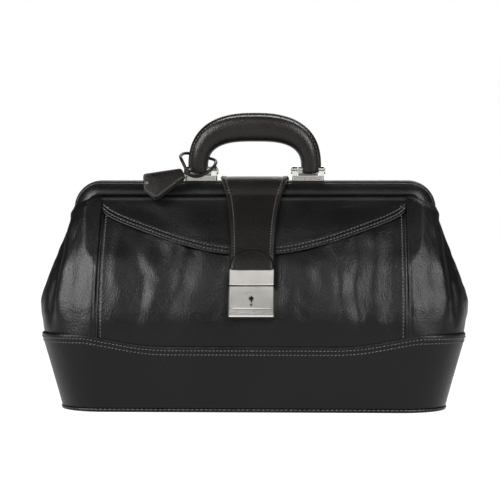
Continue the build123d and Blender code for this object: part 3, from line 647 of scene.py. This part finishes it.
def seamStrip(side, way, low, high, proud=1.15):
    # A half-round ridge whose sides sink into the leather beside it
    z = np.linspace(low, high, 70)
    turn = np.linspace(-0.15 * pi, 1.15 * pi, 15)
    x = bodyShape["seam"] - 2.0 * np.cos(turn)
    rise = (proud + 0.3) * np.sin(turn) - 0.3
    depth = bodyAt(z, "halfDepth")
    grid = np.empty((len(z), len(x), 3))
    grid[..., 0] = side * x[None]
    grid[..., 1] = way * (depth[:, None] + rise[None])
    grid[..., 2] = z[:, None]
    return grid


def seamLine(side, way, low, high, offset):
    # Beside the seam, on the panel for a minus offset and on the end for a plus one
    z = np.linspace(low, high, 90)
    if offset < 0:
        x = np.full_like(z, bodyShape["seam"] + offset)
        y = bodyAt(z, "halfDepth") + 0.15
    else:
        x, y = [], []
        for height in z:
            plan = endPlan(1, height)
            plan = plan if way < 0 else plan[::-1]
            away = np.concatenate([[0], np.cumsum(np.linalg.norm(np.diff(plan[:, :2], axis=0), axis=1))])
            x.append(np.interp(offset, away, plan[:, 0]))
            y.append(abs(np.interp(offset, away, plan[:, 1])) + 0.15)
        x, y = np.array(x), np.array(y)
    slope = np.gradient(y, z)
    return np.stack([side * x, way * y, z], axis=-1), np.stack(
        [z * 0 + side * 0.3 * (offset > 0), np.full_like(z, way), -slope], axis=-1,
    )


for way, part, top in ((-1, "front", 183.0), (1, "rear", 200.0)):
    rows = []
    for side, hand in ((-1, "left"), (1, "right")):
        strip = meshFrom(hand + part.title() + "Welt", seamStrip(side, way, 60, top), flip=(side * way) > 0)
        thicken(strip, 0.6)
        dress(strip, blackLeather)
        rows += [(*seamLine(side, way, 62, top - 2, offset), {}) for offset in (-4.4, 4.6)]
        if part == "front":
            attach(strip, "bag")
        else:
            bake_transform(strip)
        if hand == "left":
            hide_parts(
                *(["front_seam_welts"] if part == "front" else ["rear_seam_welts", "rear_yoke_welts"]),
            )
    stitches = stitchPiece(part + "SeamStitches", rows)
    if part == "front":
        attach(stitches, "bag")
    else:
        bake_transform(stitches)
print("seams made")

# Flap with its turned, double-stitched edge

flapShape = {
    "half": 143.4, "crease": 197.5, "lift": 2.9, "thickness": 2.6, "stitchInsets": (2.6, 5.8),
    "edgeX": [0, 15, 30, 64, 103, 126, 134, 139.5, 142.6, 143.4],
    "edgeZ": [143.6, 144.0, 145.3, 152.6, 165.5, 174.2, 178.0, 181.6, 186.0, 192.0],
}


def flapEdge(x):
    return smoothThrough(np.abs(x), flapShape["edgeX"], flapShape["edgeZ"])


def flapPoint(x, z):
    # On the body, lifted by the leather below; the last millimetres turn down at the edge and the top rolls
    # over the crease
    s = flapShape
    inside = z - flapEdge(x)
    y = bodyAt(z, "halfDepth") + s["lift"]
    for inset in s["stitchInsets"]:
        y = y - 0.45 * hump(inside, inset, 0.9)
    y = y - 0.9 * (1 - step(inside, -0.4, 1.0))
    y = y + 0.5 * softNoise(x, z, 31, 48) * step(inside, 7, 22) * (1 - step(z, 186, 194))
    y = y + 1.1 * hump(z, s["crease"] - 1.5, 1.5) - 3.0 * step(z, s["crease"] - 1.2, s["crease"] + 0.8)
    return -y


flapX = flapShape["half"] * np.sin(np.linspace(-1, 1, 171) * pi / 2)
flapShare = 1 - (1 - np.linspace(0, 1, 60)) ** 1.25
xx = np.broadcast_to(flapX, (60, 171))
zz = flapEdge(xx) + (flapShape["crease"] + 0.6 - flapEdge(xx)) * flapShare[:, None]
flap = thicken(
    meshFrom("pocketFlap", np.stack([xx, flapPoint(xx, zz), zz], axis=-1)), flapShape["thickness"], 0.9, 4,
)
dress(flap, blackLeather)
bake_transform(flap)
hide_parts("flap")


def flapLine(inset):
    # A line at an inset from the flap's curved edge
    x = np.linspace(-142.2, 142.2, 240)
    z = flapEdge(x)
    tangent = unit(np.stack([np.gradient(x), np.gradient(z)], axis=-1))
    px, pz = x - tangent[:, 1] * inset, z + tangent[:, 0] * inset
    keep = pz < flapShape["crease"] - 3
    px, pz = px[keep], pz[keep]
    slope = bodyAt(pz + 0.5, "halfDepth") - bodyAt(pz - 0.5, "halfDepth")
    return np.stack(
        [px, flapPoint(px, pz) - 0.05, pz], axis=-1,
    ), np.stack([px * 0, px * 0 - 1, -slope], axis=-1)


flapStitches = stitchPiece("flapStitches", [(*flapLine(inset), {}) for inset in flapShape["stitchInsets"]])
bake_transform(flapStitches)
print("flap made")

# Covered frame: a padded sleeve swept round each jaw


def jawPath(half, top, radius, foot, n=20):
    turn = np.linspace(0, pi / 2, n)
    left = np.stack([-half + radius - radius * np.cos(turn), top - radius + radius * np.sin(turn)], axis=-1)
    legs = np.stack([np.full(12, -half), np.linspace(foot, top - radius, 12, endpoint=False)], axis=-1)
    right = (left * [-1, 1])[::-1]
    bar = np.stack([np.linspace(-half + radius, half - radius, 60)[1:-1], np.full(58, top)], axis=-1)
    return np.concatenate([legs, left, bar, right, (legs * [-1, 1])[::-1]])


frameShape = {"thick": 5.8, "bend": 23.2, "deepPower": 4.2, "thickPower": 3.0, "pad": 0.5}


def sleeve(name, half, depthFrom, depthTo, top, foot):
    # A rounded section, flatter inside than outside, carried along the jaw
    thick = frameShape["thick"]
    path = jawPath(half - thick / 2, top - thick / 2, frameShape["bend"], foot)
    tangent = unit(np.gradient(path, axis=0))
    outward = np.stack([-tangent[:, 1], tangent[:, 0]], axis=-1)
    ring = np.linspace(0, 2 * pi, 28, endpoint=False)
    deep, mid = abs(depthTo - depthFrom) / 2, (depthTo + depthFrom) / 2
    q = np.sign(np.cos(ring)) * np.abs(np.cos(ring)) ** (2 / frameShape["deepPower"]) * deep
    p = np.sign(np.sin(ring)) * np.abs(np.sin(ring)) ** (2 / frameShape["thickPower"]) * thick / 2
    p = p + frameShape["pad"] * (p > 0) * (1 - (q / deep) ** 2)
    grid = np.empty((len(path), len(ring), 3))
    grid[..., 0] = path[:, :1] + outward[:, :1] * p
    grid[..., 2] = path[:, 1:] + outward[:, 1:] * p
    grid[..., 1] = mid + q
    return meshFrom(name, grid, wrapV=True, caps=True, flip=True)


lowF, highF = (np.array(c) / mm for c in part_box("front_frame_cover"))
lowR, highR = (np.array(c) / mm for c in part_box("rear_frame_cover"))
frontCover = dress(
    sleeve("frontFrameLeather", highF[0], lowF[1], highF[1], highF[2], lowF[2]), blackLeather,
    "bag",
)
rearCover = dress(
    sleeve("rearFrameLeather", highR[0], lowR[1], highR[1], highR[2], lowR[2]), blackLeather,
    "rear_jaw",
)
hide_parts("front_frame_cover")
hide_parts("rear_frame_cover")

stripShape = {"outside": 3.2, "inside": 13.4, "near": 17.6, "away": 25.6, "belly": 1.7, "stitches": 0.42}


def topStrip(way, half, top):
    # Leather glued to the jaw's face: its section runs inwards from the jaw's rim and bellies out, and
    # follows the jaw
    s = stripShape
    share = np.linspace(0, 1, 20)
    path = jawPath(half, top, 26.0, 168.0)
    tangent = unit(np.gradient(path, axis=0))
    inward = np.stack([tangent[:, 1], -tangent[:, 0]], axis=-1)
    reach = s["outside"] + (s["inside"] - s["outside"]) * share
    depth = s["near"] + (s["away"] - s["near"]) * share**1.15 + s["belly"] * np.sin(pi * share)
    depth = depth - 2.4 * step(share, 0.93, 1.0)
    grid = np.empty((len(path), len(share), 3))
    grid[..., 0] = path[:, :1] + inward[:, :1] * reach
    grid[..., 2] = path[:, 1:] + inward[:, 1:] * reach
    grid[..., 1] = way * depth
    return grid


for way, part, body, high in ((-1, "front", "bag", highF), (1, "rear", "rear_jaw", highR)):
    grid = topStrip(way, high[0], high[2])
    strip = thicken(meshFrom(part + "TopStrip", grid, flip=way < 0), 1.2)
    dress(strip, blackLeather, body)
    k = int(stripShape["stitches"] * 19)
    line = grid[14:-14, k] + np.array([0, way * 0.45, 0.2])
    stitchPiece(part + "StripStitches", [(line, np.broadcast_to([0, way, 0.5], line.shape), {})], body)
print("frame made")

# Closure strap

strapShape = {
    "top": 212.9, "thickness": 3.2, "lift": 3.6, "hinge": 15.0, "low": 116.0,
    "widthZ": [110, 128, 150, 172, 194, 204, 213],
    "halfWidth": [20.5, 20.5, 20.9, 22.2, 25.4, 28.6, 32.0],
}


def strapLine(way, low):
    # Middle line of the strap's inner face in (Y, Z), from its end up the body and over the frame
    z = np.linspace(low, 197, 60)
    y = way * (bodyAt(z, "halfDepth") + (strapShape["lift"] if way < 0 else 0.7))
    turn = np.linspace(0, 1, 16)[1:]
    start, corner, finish = np.array([y[-1], z[-1]]), np.array([way * 22.0, 212.6]), np.array(
        [way * 13.5, strapShape["top"]]
    )
    t = turn[:, None]
    bend = (1 - t) ** 2 * start + 2 * (1 - t) * t * corner + t**2 * finish
    return np.concatenate([np.stack([y, z], axis=-1), bend])


def strapSurface(line, width):
    # Straight across with rolled edges; the outer face lies one thickness off the line
    across = np.array(
        [-1, -0.985, -0.95, -0.9, -0.84, -0.78, -0.6, -0.3, 0, 0.3, 0.6, 0.78, 0.84, 0.9, 0.95, 0.985, 1]
    )
    edge = np.abs(across)
    roll = 0.7 * hump(edge, 0.93, 0.05) - 0.35 * hump(edge, 0.82, 0.04) - step(edge, 0.965, 1.0)
    tangent = unit(np.gradient(line, axis=0))
    normal = np.stack([-tangent[:, 1], tangent[:, 0]], axis=-1)
    lift = strapShape["thickness"] + roll
    grid = np.empty((len(line), len(across), 3))
    grid[..., 0] = width[:, None] * across
    grid[..., 1] = line[:, :1] + normal[:, :1] * lift
    grid[..., 2] = line[:, 1:] + normal[:, 1:] * lift
    return grid, normal


def strapWidth(z):
    return smoothThrough(z, strapShape["widthZ"], strapShape["halfWidth"])


frontLine = strapLine(-1, strapShape["low"])
overTop = np.stack([np.linspace(-12.5, strapShape["hinge"], 16), np.full(16, strapShape["top"])], axis=-1)
frontLine = np.concatenate([frontLine, overTop])
frontWidth = strapWidth(frontLine[:, 1])
grid, frontOut = strapSurface(frontLine, frontWidth)
strap = thicken(meshFrom("closureStrap", grid), strapShape["thickness"] - 0.3, 0.5, 3)
dress(strap, strapLeather)
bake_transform(strap)
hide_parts("strap", "strap_fold")


def strapStitches(line, width, out, start, end):
    rows = []
    for side in (-1, 1):
        points = np.stack(
            [side * (width - 4.4), line[:, 0] + out[:, 0] * 3.1, line[:, 1] + out[:, 1] * 3.1], axis=-1,
        )[start:end]
        rows.append(
            (points, np.concatenate([out[:, :1] * 0, out], axis=1)[start:end], {"gap": 3.3, "length": 2.2})
        )
    return rows


pieces = stitchPiece("strapStitches", strapStitches(frontLine, frontWidth, frontOut, 12, -1))
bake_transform(pieces)

rearLine = strapLine(1, 150)
rearLine = np.concatenate([rearLine, [[strapShape["hinge"] - 1.5, strapShape["top"]]]])
rearWidth = np.full(len(rearLine), strapShape["halfWidth"][-1])
grid, rearOut = strapSurface(rearLine, rearWidth)
grid[..., 1:] = 2 * np.stack(
    [np.broadcast_to(rearLine[:, :1], grid.shape[:2]), np.broadcast_to(rearLine[:, 1:], grid.shape[:2])],
    axis=-1,
) - grid[..., 1:]
anchor = thicken(meshFrom("strapAnchor", grid, flip=True), strapShape["thickness"] - 0.3, 0.5, 3)
dress(anchor, strapLeather)
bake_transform(anchor)
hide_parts("strap_anchor")
rows = strapStitches(rearLine, rearWidth, -rearOut, 1, -1)
crossX = np.linspace(-27, 27, 20)
cross = np.stack(
    [
        crossX, np.full(20, rearLine[3, 0] - rearOut[3, 0] * 3.1),
        np.full(20, rearLine[3, 1] - rearOut[3, 1] * 3.1),
    ],
    axis=-1,
)
rows.append((cross, np.broadcast_to([0, 1, 0.6], cross.shape), {"gap": 3.3, "length": 2.2}))
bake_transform(stitchPiece("anchorStitches", rows))

# Arched tab over the hasp's top edge
tabShape = {"half": 18.3, "foot": 131.0, "rise": 17.6, "thickness": 1.9}


def tabPoints(radius, drop):
    turn = np.linspace(0, pi, 49)
    x = -radius * np.cos(turn)
    z = tabShape["foot"] + (tabShape["rise"] * radius / tabShape["half"]) * np.sin(turn) ** 0.85
    y = -(bodyAt(z, "halfDepth") + strapShape["lift"] + strapShape["thickness"] + 1.2 + drop)
    return np.stack([x, y, z], axis=-1)


radii = tabShape["half"] * np.array([1.0, 0.97, 0.92, 0.86, 0.78, 0.6, 0.4, 0.2, 0.02])
lifts = [0.0, 0.9, 1.3, 1.0, 1.1, 1.2, 1.2, 1.2, 1.2]
tab = thicken(
    meshFrom("strapTab", np.stack([tabPoints(r, d) for r, d in zip(radii, lifts)])), tabShape["thickness"],
    0.4, 2,
)
dress(tab, strapLeather, "strap_end")
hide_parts("strap_tab")
tabLine = tabPoints(tabShape["half"] * 0.84, 1.15)
stitchPiece(
    "tabStitches", [(tabLine, np.broadcast_to([0, -1, 0.35], tabLine.shape), {"gap": 3.2, "length": 2.1})],
    "strap_end",
)
print("strap made")

# Handle grip: between two superellipses, round in section, with a sewn lip along its outer edge

gripShape = {
    "across": -11.0, "outerHalf": 62.4, "outerRise": 51.0, "outerBase": 224.6, "innerHalf": 43.4,
    "innerRise": 26.2, "innerBase": 221.8, "foot": 217.6, "depth": 10.6,
    "slimLeg": 0.24, "power": 2.25, "lip": 0.16,
}


def gripEdge(turn, half, rise, base, power):
    # A superellipse from the left leg over the top to the right leg
    c, s = np.cos(turn), np.sin(turn)
    return np.stack(
        [-half * np.sign(c) * np.abs(c) ** (2 / power), base + rise * np.abs(s) ** (2 / power)], axis=-1,
    )


def gripSections():
    turn = np.linspace(0, pi, 91)
    outer = gripEdge(turn, gripShape["outerHalf"], gripShape["outerRise"], gripShape["outerBase"], 2.5)
    inner = gripEdge(turn, gripShape["innerHalf"], gripShape["innerRise"], gripShape["innerBase"], 3.0)
    drop = np.linspace(gripShape["foot"], gripShape["innerBase"], 6, endpoint=False)
    legOuter = np.stack([np.full(6, -gripShape["outerHalf"]), drop + 1.0], axis=-1)
    legInner = np.stack([np.full(6, -gripShape["innerHalf"]), drop], axis=-1)
    outer = np.concatenate([legOuter, outer, (legOuter * [-1, 1])[::-1]])
    inner = np.concatenate([legInner, inner, (legInner * [-1, 1])[::-1]])
    return outer, inner


gripOuter, gripInner = gripSections()
ring = np.linspace(0, 2 * pi, 48, endpoint=False)
radial = np.cos(ring)
deep = np.sin(ring)
radial = np.sign(radial) * np.abs(radial) ** (2 / gripShape["power"])
deep = np.sign(deep) * np.abs(deep) ** (2 / gripShape["power"])
middle, reach = (gripOuter + gripInner) / 2, (gripOuter - gripInner) / 2
n = len(middle)
atLeg = 1 - step(np.minimum(np.arange(n), n - 1 - np.arange(n)), 0, 16)
# Legs are slimmer from front to back and close to a rounded end
depth = gripShape["depth"] * (1 - gripShape["slimLeg"] * atLeg)
endRound = step(np.minimum(np.arange(n), n - 1 - np.arange(n)), -1.2, 2.4)
grid = np.empty((n, len(ring), 3))
lip = gripShape["lip"] * np.clip(radial, 0, 1) ** 6 * hump(deep, 0, 0.16)
body = radial * 0.93 + lip - 0.045 * hump(np.abs(deep), 0.33, 0.1) * (radial > 0)
grid[..., 0] = middle[:, :1] + reach[:, :1] * body * endRound[:, None]
grid[..., 2] = middle[:, 1:] + reach[:, 1:] * body * endRound[:, None]
grid[..., 1] = gripShape["across"] + depth[:, None] * deep * endRound[:, None]
grip = dress(
    meshFrom("handleGrip", grid, wrapV=True, caps=True, flip=True), handleLeather,
    "handle",
)
smooth = grip.modifiers.new("smooth", "SUBSURF")
smooth.levels = 1
smooth.render_levels = 1
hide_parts("handle_grip")
rows = []
for way in (-1, 1):
    share = 0.78
    deepHere = depth * (1 - (share / 0.93) ** 2.25) ** (1 / 2.25) + 0.1
    seamPoints = [
        middle[:, 0] + reach[:, 0] * share, gripShape["across"] + way * deepHere,
        middle[:, 1] + reach[:, 1] * share,
    ]
    points = np.stack(seamPoints, axis=-1)[9:-9]
    out = np.stack([reach[:, 0], way * np.linalg.norm(reach, axis=1) * 0.5, reach[:, 1]], axis=-1)[9:-9]
    rows.append((points, out, {"gap": 3.4, "length": 2.3, "width": 0.8}))
stitchPiece("handleStitches", rows, "handle")
print("handle made")

# Key fob and its lace

lacePoints = [
    (-63.5, -28.1, 222.4), (-67.6, -25.6, 230.2), (-70.6, -15.5, 235.8), (-66.6, -3.8, 238.8),
    (-56.2, 3.2, 237.0), (-44.0, 1.6, 233.6), (-36.4, -8.0, 231.4), (-36.8, -19.8, 226.8),
    (-41.0, -27.0, 221.6), (-49.0, -30.0, 216.6), (-57.6, -30.6, 215.6), (-63.8, -29.2, 219.4),
]


laceSize = {"length": 0.1165, "diameter": 0.003}


def laceCurve():
    curve = bpy.data.curves.new("fobLace", "CURVE")
    curve.dimensions = "3D"
    spline = curve.splines.new("NURBS")
    spline.points.add(len(lacePoints) - 1)
    spline.points.foreach_set("co", np.array([(x * mm, y * mm, z * mm, 1) for x, y, z in lacePoints]).ravel())
    spline.order_u = 3
    spline.use_endpoint_u = True
    spline.resolution_u = 10
    curve.bevel_depth = laceSize["diameter"] / 2
    curve.bevel_resolution = 4
    curve.use_fill_caps = True
    piece = bpy.data.objects.new("fobLace", curve)
    bpy.context.collection.objects.link(piece)
    return piece


lace = dress(laceCurve(), fobLeather, "bag")

fobShape = {
    "origin": (-66.0, -26.0, 217.5), "lean": 30.0, "turn": 26.0, "length": 41.0, "shoulder": 35.0,
    "mouth": 15.0, "neck": 5.0, "thickness": 1.5, "room": 2.2, "middle": 21.0, "swell": 0.9,
}


def fobPoint(u, v, w):
    # u down the bell, v across it, w out of its plane
    lean, turn = radians(fobShape["lean"]), radians(fobShape["turn"])
    x = -cos(turn) * u + sin(turn) * v
    y = -sin(turn) * u - cos(turn) * v
    ox, oy, oz = fobShape["origin"]
    return np.stack([ox + x, oy + y * sin(lean) - w * cos(lean), oz + y * cos(lean) + w * sin(lean)], axis=-1)


def bellEdge(n=110):
    # Outline of the bell as a polygon of straight runs, each corner rounded by averaging along the line
    s = fobShape
    u = np.array([0, s["shoulder"], s["length"], s["shoulder"], 0, 0])
    v = np.array([s["neck"], s["mouth"], 0, -s["mouth"], -s["neck"], s["neck"]])
    lengths = np.concatenate([[0], np.cumsum(np.hypot(np.diff(u), np.diff(v)))])
    t = np.linspace(0, lengths[-1], n, endpoint=False)
    u2, v2 = np.interp(t, lengths, u), np.interp(t, lengths, v)
    for _ in range(5):
        u2 = (np.roll(u2, 1) + 2 * u2 + np.roll(u2, -1)) / 4
        v2 = (np.roll(v2, 1) + 2 * v2 + np.roll(v2, -1)) / 4
    return u2, v2


def bellLayer(name, base, out):
    # Rings from the middle of one face round the edge to the middle of the other; out is the side that swells
    half = fobShape["thickness"] / 2
    u0, v0 = bellEdge()
    middle = fobShape["middle"]
    rings = []
    for face in (-1, 1):
        swell = fobShape["swell"] if face == out else 0.0
        faceRings = []
        for shrink in (0.02, 0.3, 0.55, 0.75, 0.88, 0.955):
            u, v = middle + (u0 - middle) * shrink, v0 * shrink
            faceRings.append(fobPoint(u, v, base + half + face * (half + swell * (1 - shrink**2.5))))
        u, v = middle + (u0 - middle) * 0.99, v0 * 0.99
        faceRings.append(fobPoint(u, v, base + half + face * half * 0.75))
        rings += faceRings if face < 0 else [fobPoint(u0, v0, base + half)] + faceRings[::-1]
    return meshFrom(name, np.stack(rings), wrapV=True, caps=True)


fobBack = dress(bellLayer("fobBackLeather", 0.0, -1), fobLeather, "key_fob")
fobFront = dress(
    bellLayer("fobFrontLeather", fobShape["thickness"] + fobShape["room"], 1), fobLeather,
    "key_fob",
)
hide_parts("fob_back")
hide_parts("fob_front")
fobNormal = np.array([0, -cos(radians(fobShape["lean"])), sin(radians(fobShape["lean"]))])
u, v = bellEdge()
u, v = fobShape["middle"] + (u - fobShape["middle"]) * 0.87, v * 0.85
edgeLine = fobPoint(u, v, 2 * fobShape["thickness"] + fobShape["room"] + 0.45)
rows = []
for way in (-1, 1):
    keep = np.flatnonzero((v * way > 3.5) & (u < 34))
    keep = keep[np.argsort(u[keep])]
    rows.append(
        (
            edgeLine[keep], np.broadcast_to(fobNormal, edgeLine[keep].shape),
            {"gap": 2.9, "length": 2.0, "width": 0.9},
        )
    )
stitchPiece("fobStitches", rows, "key_fob")
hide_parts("lace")
print("fob made")

# Finishes of the parts kept from the frame

kept = {
    "nickel": (
        nickel,
        [
            "lock_case", "lock_slide", "lock_rivets", "lock_bolt", "lock_cam", "lock_washer", "hasp",
            "left_handle_bracket", "right_handle_bracket", "left_handle_pin", "right_handle_pin",
            "fob_stud", "key",
        ],
    ),
    "frame_steel": (
        frameSteel,
        ["front_frame", "rear_frame", "handle_core", "lock_springs", "left_hinge_pin", "right_hinge_pin"],
    ),
    "lining_cloth": (liningCloth, ["lining"]),
    "fibre_board": (boardFinish, ["base_tray"]),
    "black_leather": (blackLeather, ["front_wall"]),
    "fob_leather": (fobLeather, ["fob_seam", "lace_knot"]),
}
for material, nodes in kept.values():
    for node in nodes:
        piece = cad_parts[node]
        for i in range(len(piece.data.materials)):
            piece.data.materials[i] = material

# Floor, light and camera

studio = {"floor": 0.08, "glow": 1.0, "high": 0.02, "low": 0.14}


def makeStage():
    # A plain floor, pale and faintly lit from within so that it keeps even
    grid = np.array([[[x, y, 0] for y in (-9000, 0, 9000)] for x in (-9000, 0, 9000)], float)
    floor = meshFrom("floor", grid, flip=True)
    material, tree, shader, where = newMaterial("pale_floor")
    shader.inputs["Base Color"].default_value = (studio["floor"], studio["floor"], studio["floor"], 1)
    shader.inputs["Roughness"].default_value = 0.9
    shader.inputs["Specular IOR Level"].default_value = 0.0
    shader.inputs["Emission Color"].default_value = (1, 1, 1, 1)
    shader.inputs["Emission Strength"].default_value = studio["glow"]
    floor.data.materials.append(material)


def makeSky():
    # The room is white where the camera looks into it, and dark with a little haze where it lights the bag
    world = bpy.data.worlds.new("studio")
    bpy.context.scene.world = world
    world.use_nodes = True
    tree = world.node_tree
    coords = tree.nodes.new("ShaderNodeTexCoord")
    split = tree.nodes.new("ShaderNodeSeparateXYZ")
    tree.links.new(coords.outputs["Generated"], split.inputs["Vector"])
    room = ramp(tree, split.outputs["Z"], (studio["low"],) * 3, (studio["high"],) * 3, 0.1, 0.5)
    tree.links.new(room, tree.nodes["Background"].inputs["Color"])
    seen = tree.nodes.new("ShaderNodeBackground")
    seen.inputs["Color"].default_value = (1, 1, 1, 1)
    path = tree.nodes.new("ShaderNodeLightPath")
    choose = tree.nodes.new("ShaderNodeMixShader")
    tree.links.new(path.outputs["Is Camera Ray"], choose.inputs["Fac"])
    tree.links.new(tree.nodes["Background"].outputs["Background"], choose.inputs[1])
    tree.links.new(seen.outputs["Background"], choose.inputs[2])
    tree.links.new(choose.outputs["Shader"], tree.nodes["World Output"].inputs["Surface"])


def addLight(name, place, aim, width, height, power):
    data = bpy.data.lights.new(name, "AREA")
    data.shape = "RECTANGLE"
    data.size, data.size_y = width, height
    data.energy = power
    light = bpy.data.objects.new(name, data)
    bpy.context.collection.objects.link(light)
    light.location = place
    light.rotation_euler = (Vector(aim) - Vector(place)).to_track_quat("-Z", "Y").to_euler()


makeStage()
makeSky()
bpy.context.scene.view_settings.view_transform = "Standard"
# Each soft light: place and aim in metres, width and height in metres, watts
softboxes = {
    "leftSoftbox": ((-1.35, -1.15, 1.2), (0, 0, 0.12), 1.2, 1.5, 84),
    "rightSoftbox": ((1.3, -1.3, 1.2), (0, 0, 0.12), 1.0, 1.5, 66),
    "middleSoftbox": ((0.05, -1.5, 1.55), (0, 0, 0.1), 0.7, 0.5, 2.0),
    "backSoftbox": ((0.2, 1.3, 1.5), (0, 0.1, 0.15), 1.6, 0.7, 22),
}
for name, box in softboxes.items():
    addLight(name, *box)
print("studio made")

cameraSettings = {"distance": 1900, "across": -4.8, "height": 206, "aim": 146.1, "lens": 143.6, "yaw": 2.2}
cameraData = bpy.data.cameras.new("camera")
cameraData.lens = cameraSettings["lens"]
cameraData.sensor_width = 36
camera = bpy.data.objects.new("camera", cameraData)
bpy.context.collection.objects.link(camera)
yaw = radians(cameraSettings["yaw"])
aim = Vector((cameraSettings["across"] * mm, 0, cameraSettings["aim"] * mm))
camera.location = Vector((
    cameraSettings["across"] * mm + cameraSettings["distance"] * mm * sin(yaw),
    -cameraSettings["distance"] * mm * cos(yaw),
    cameraSettings["height"] * mm,
))
camera.rotation_euler = (aim - camera.location).to_track_quat("-Z", "Y").to_euler()
bpy.context.scene.camera = camera
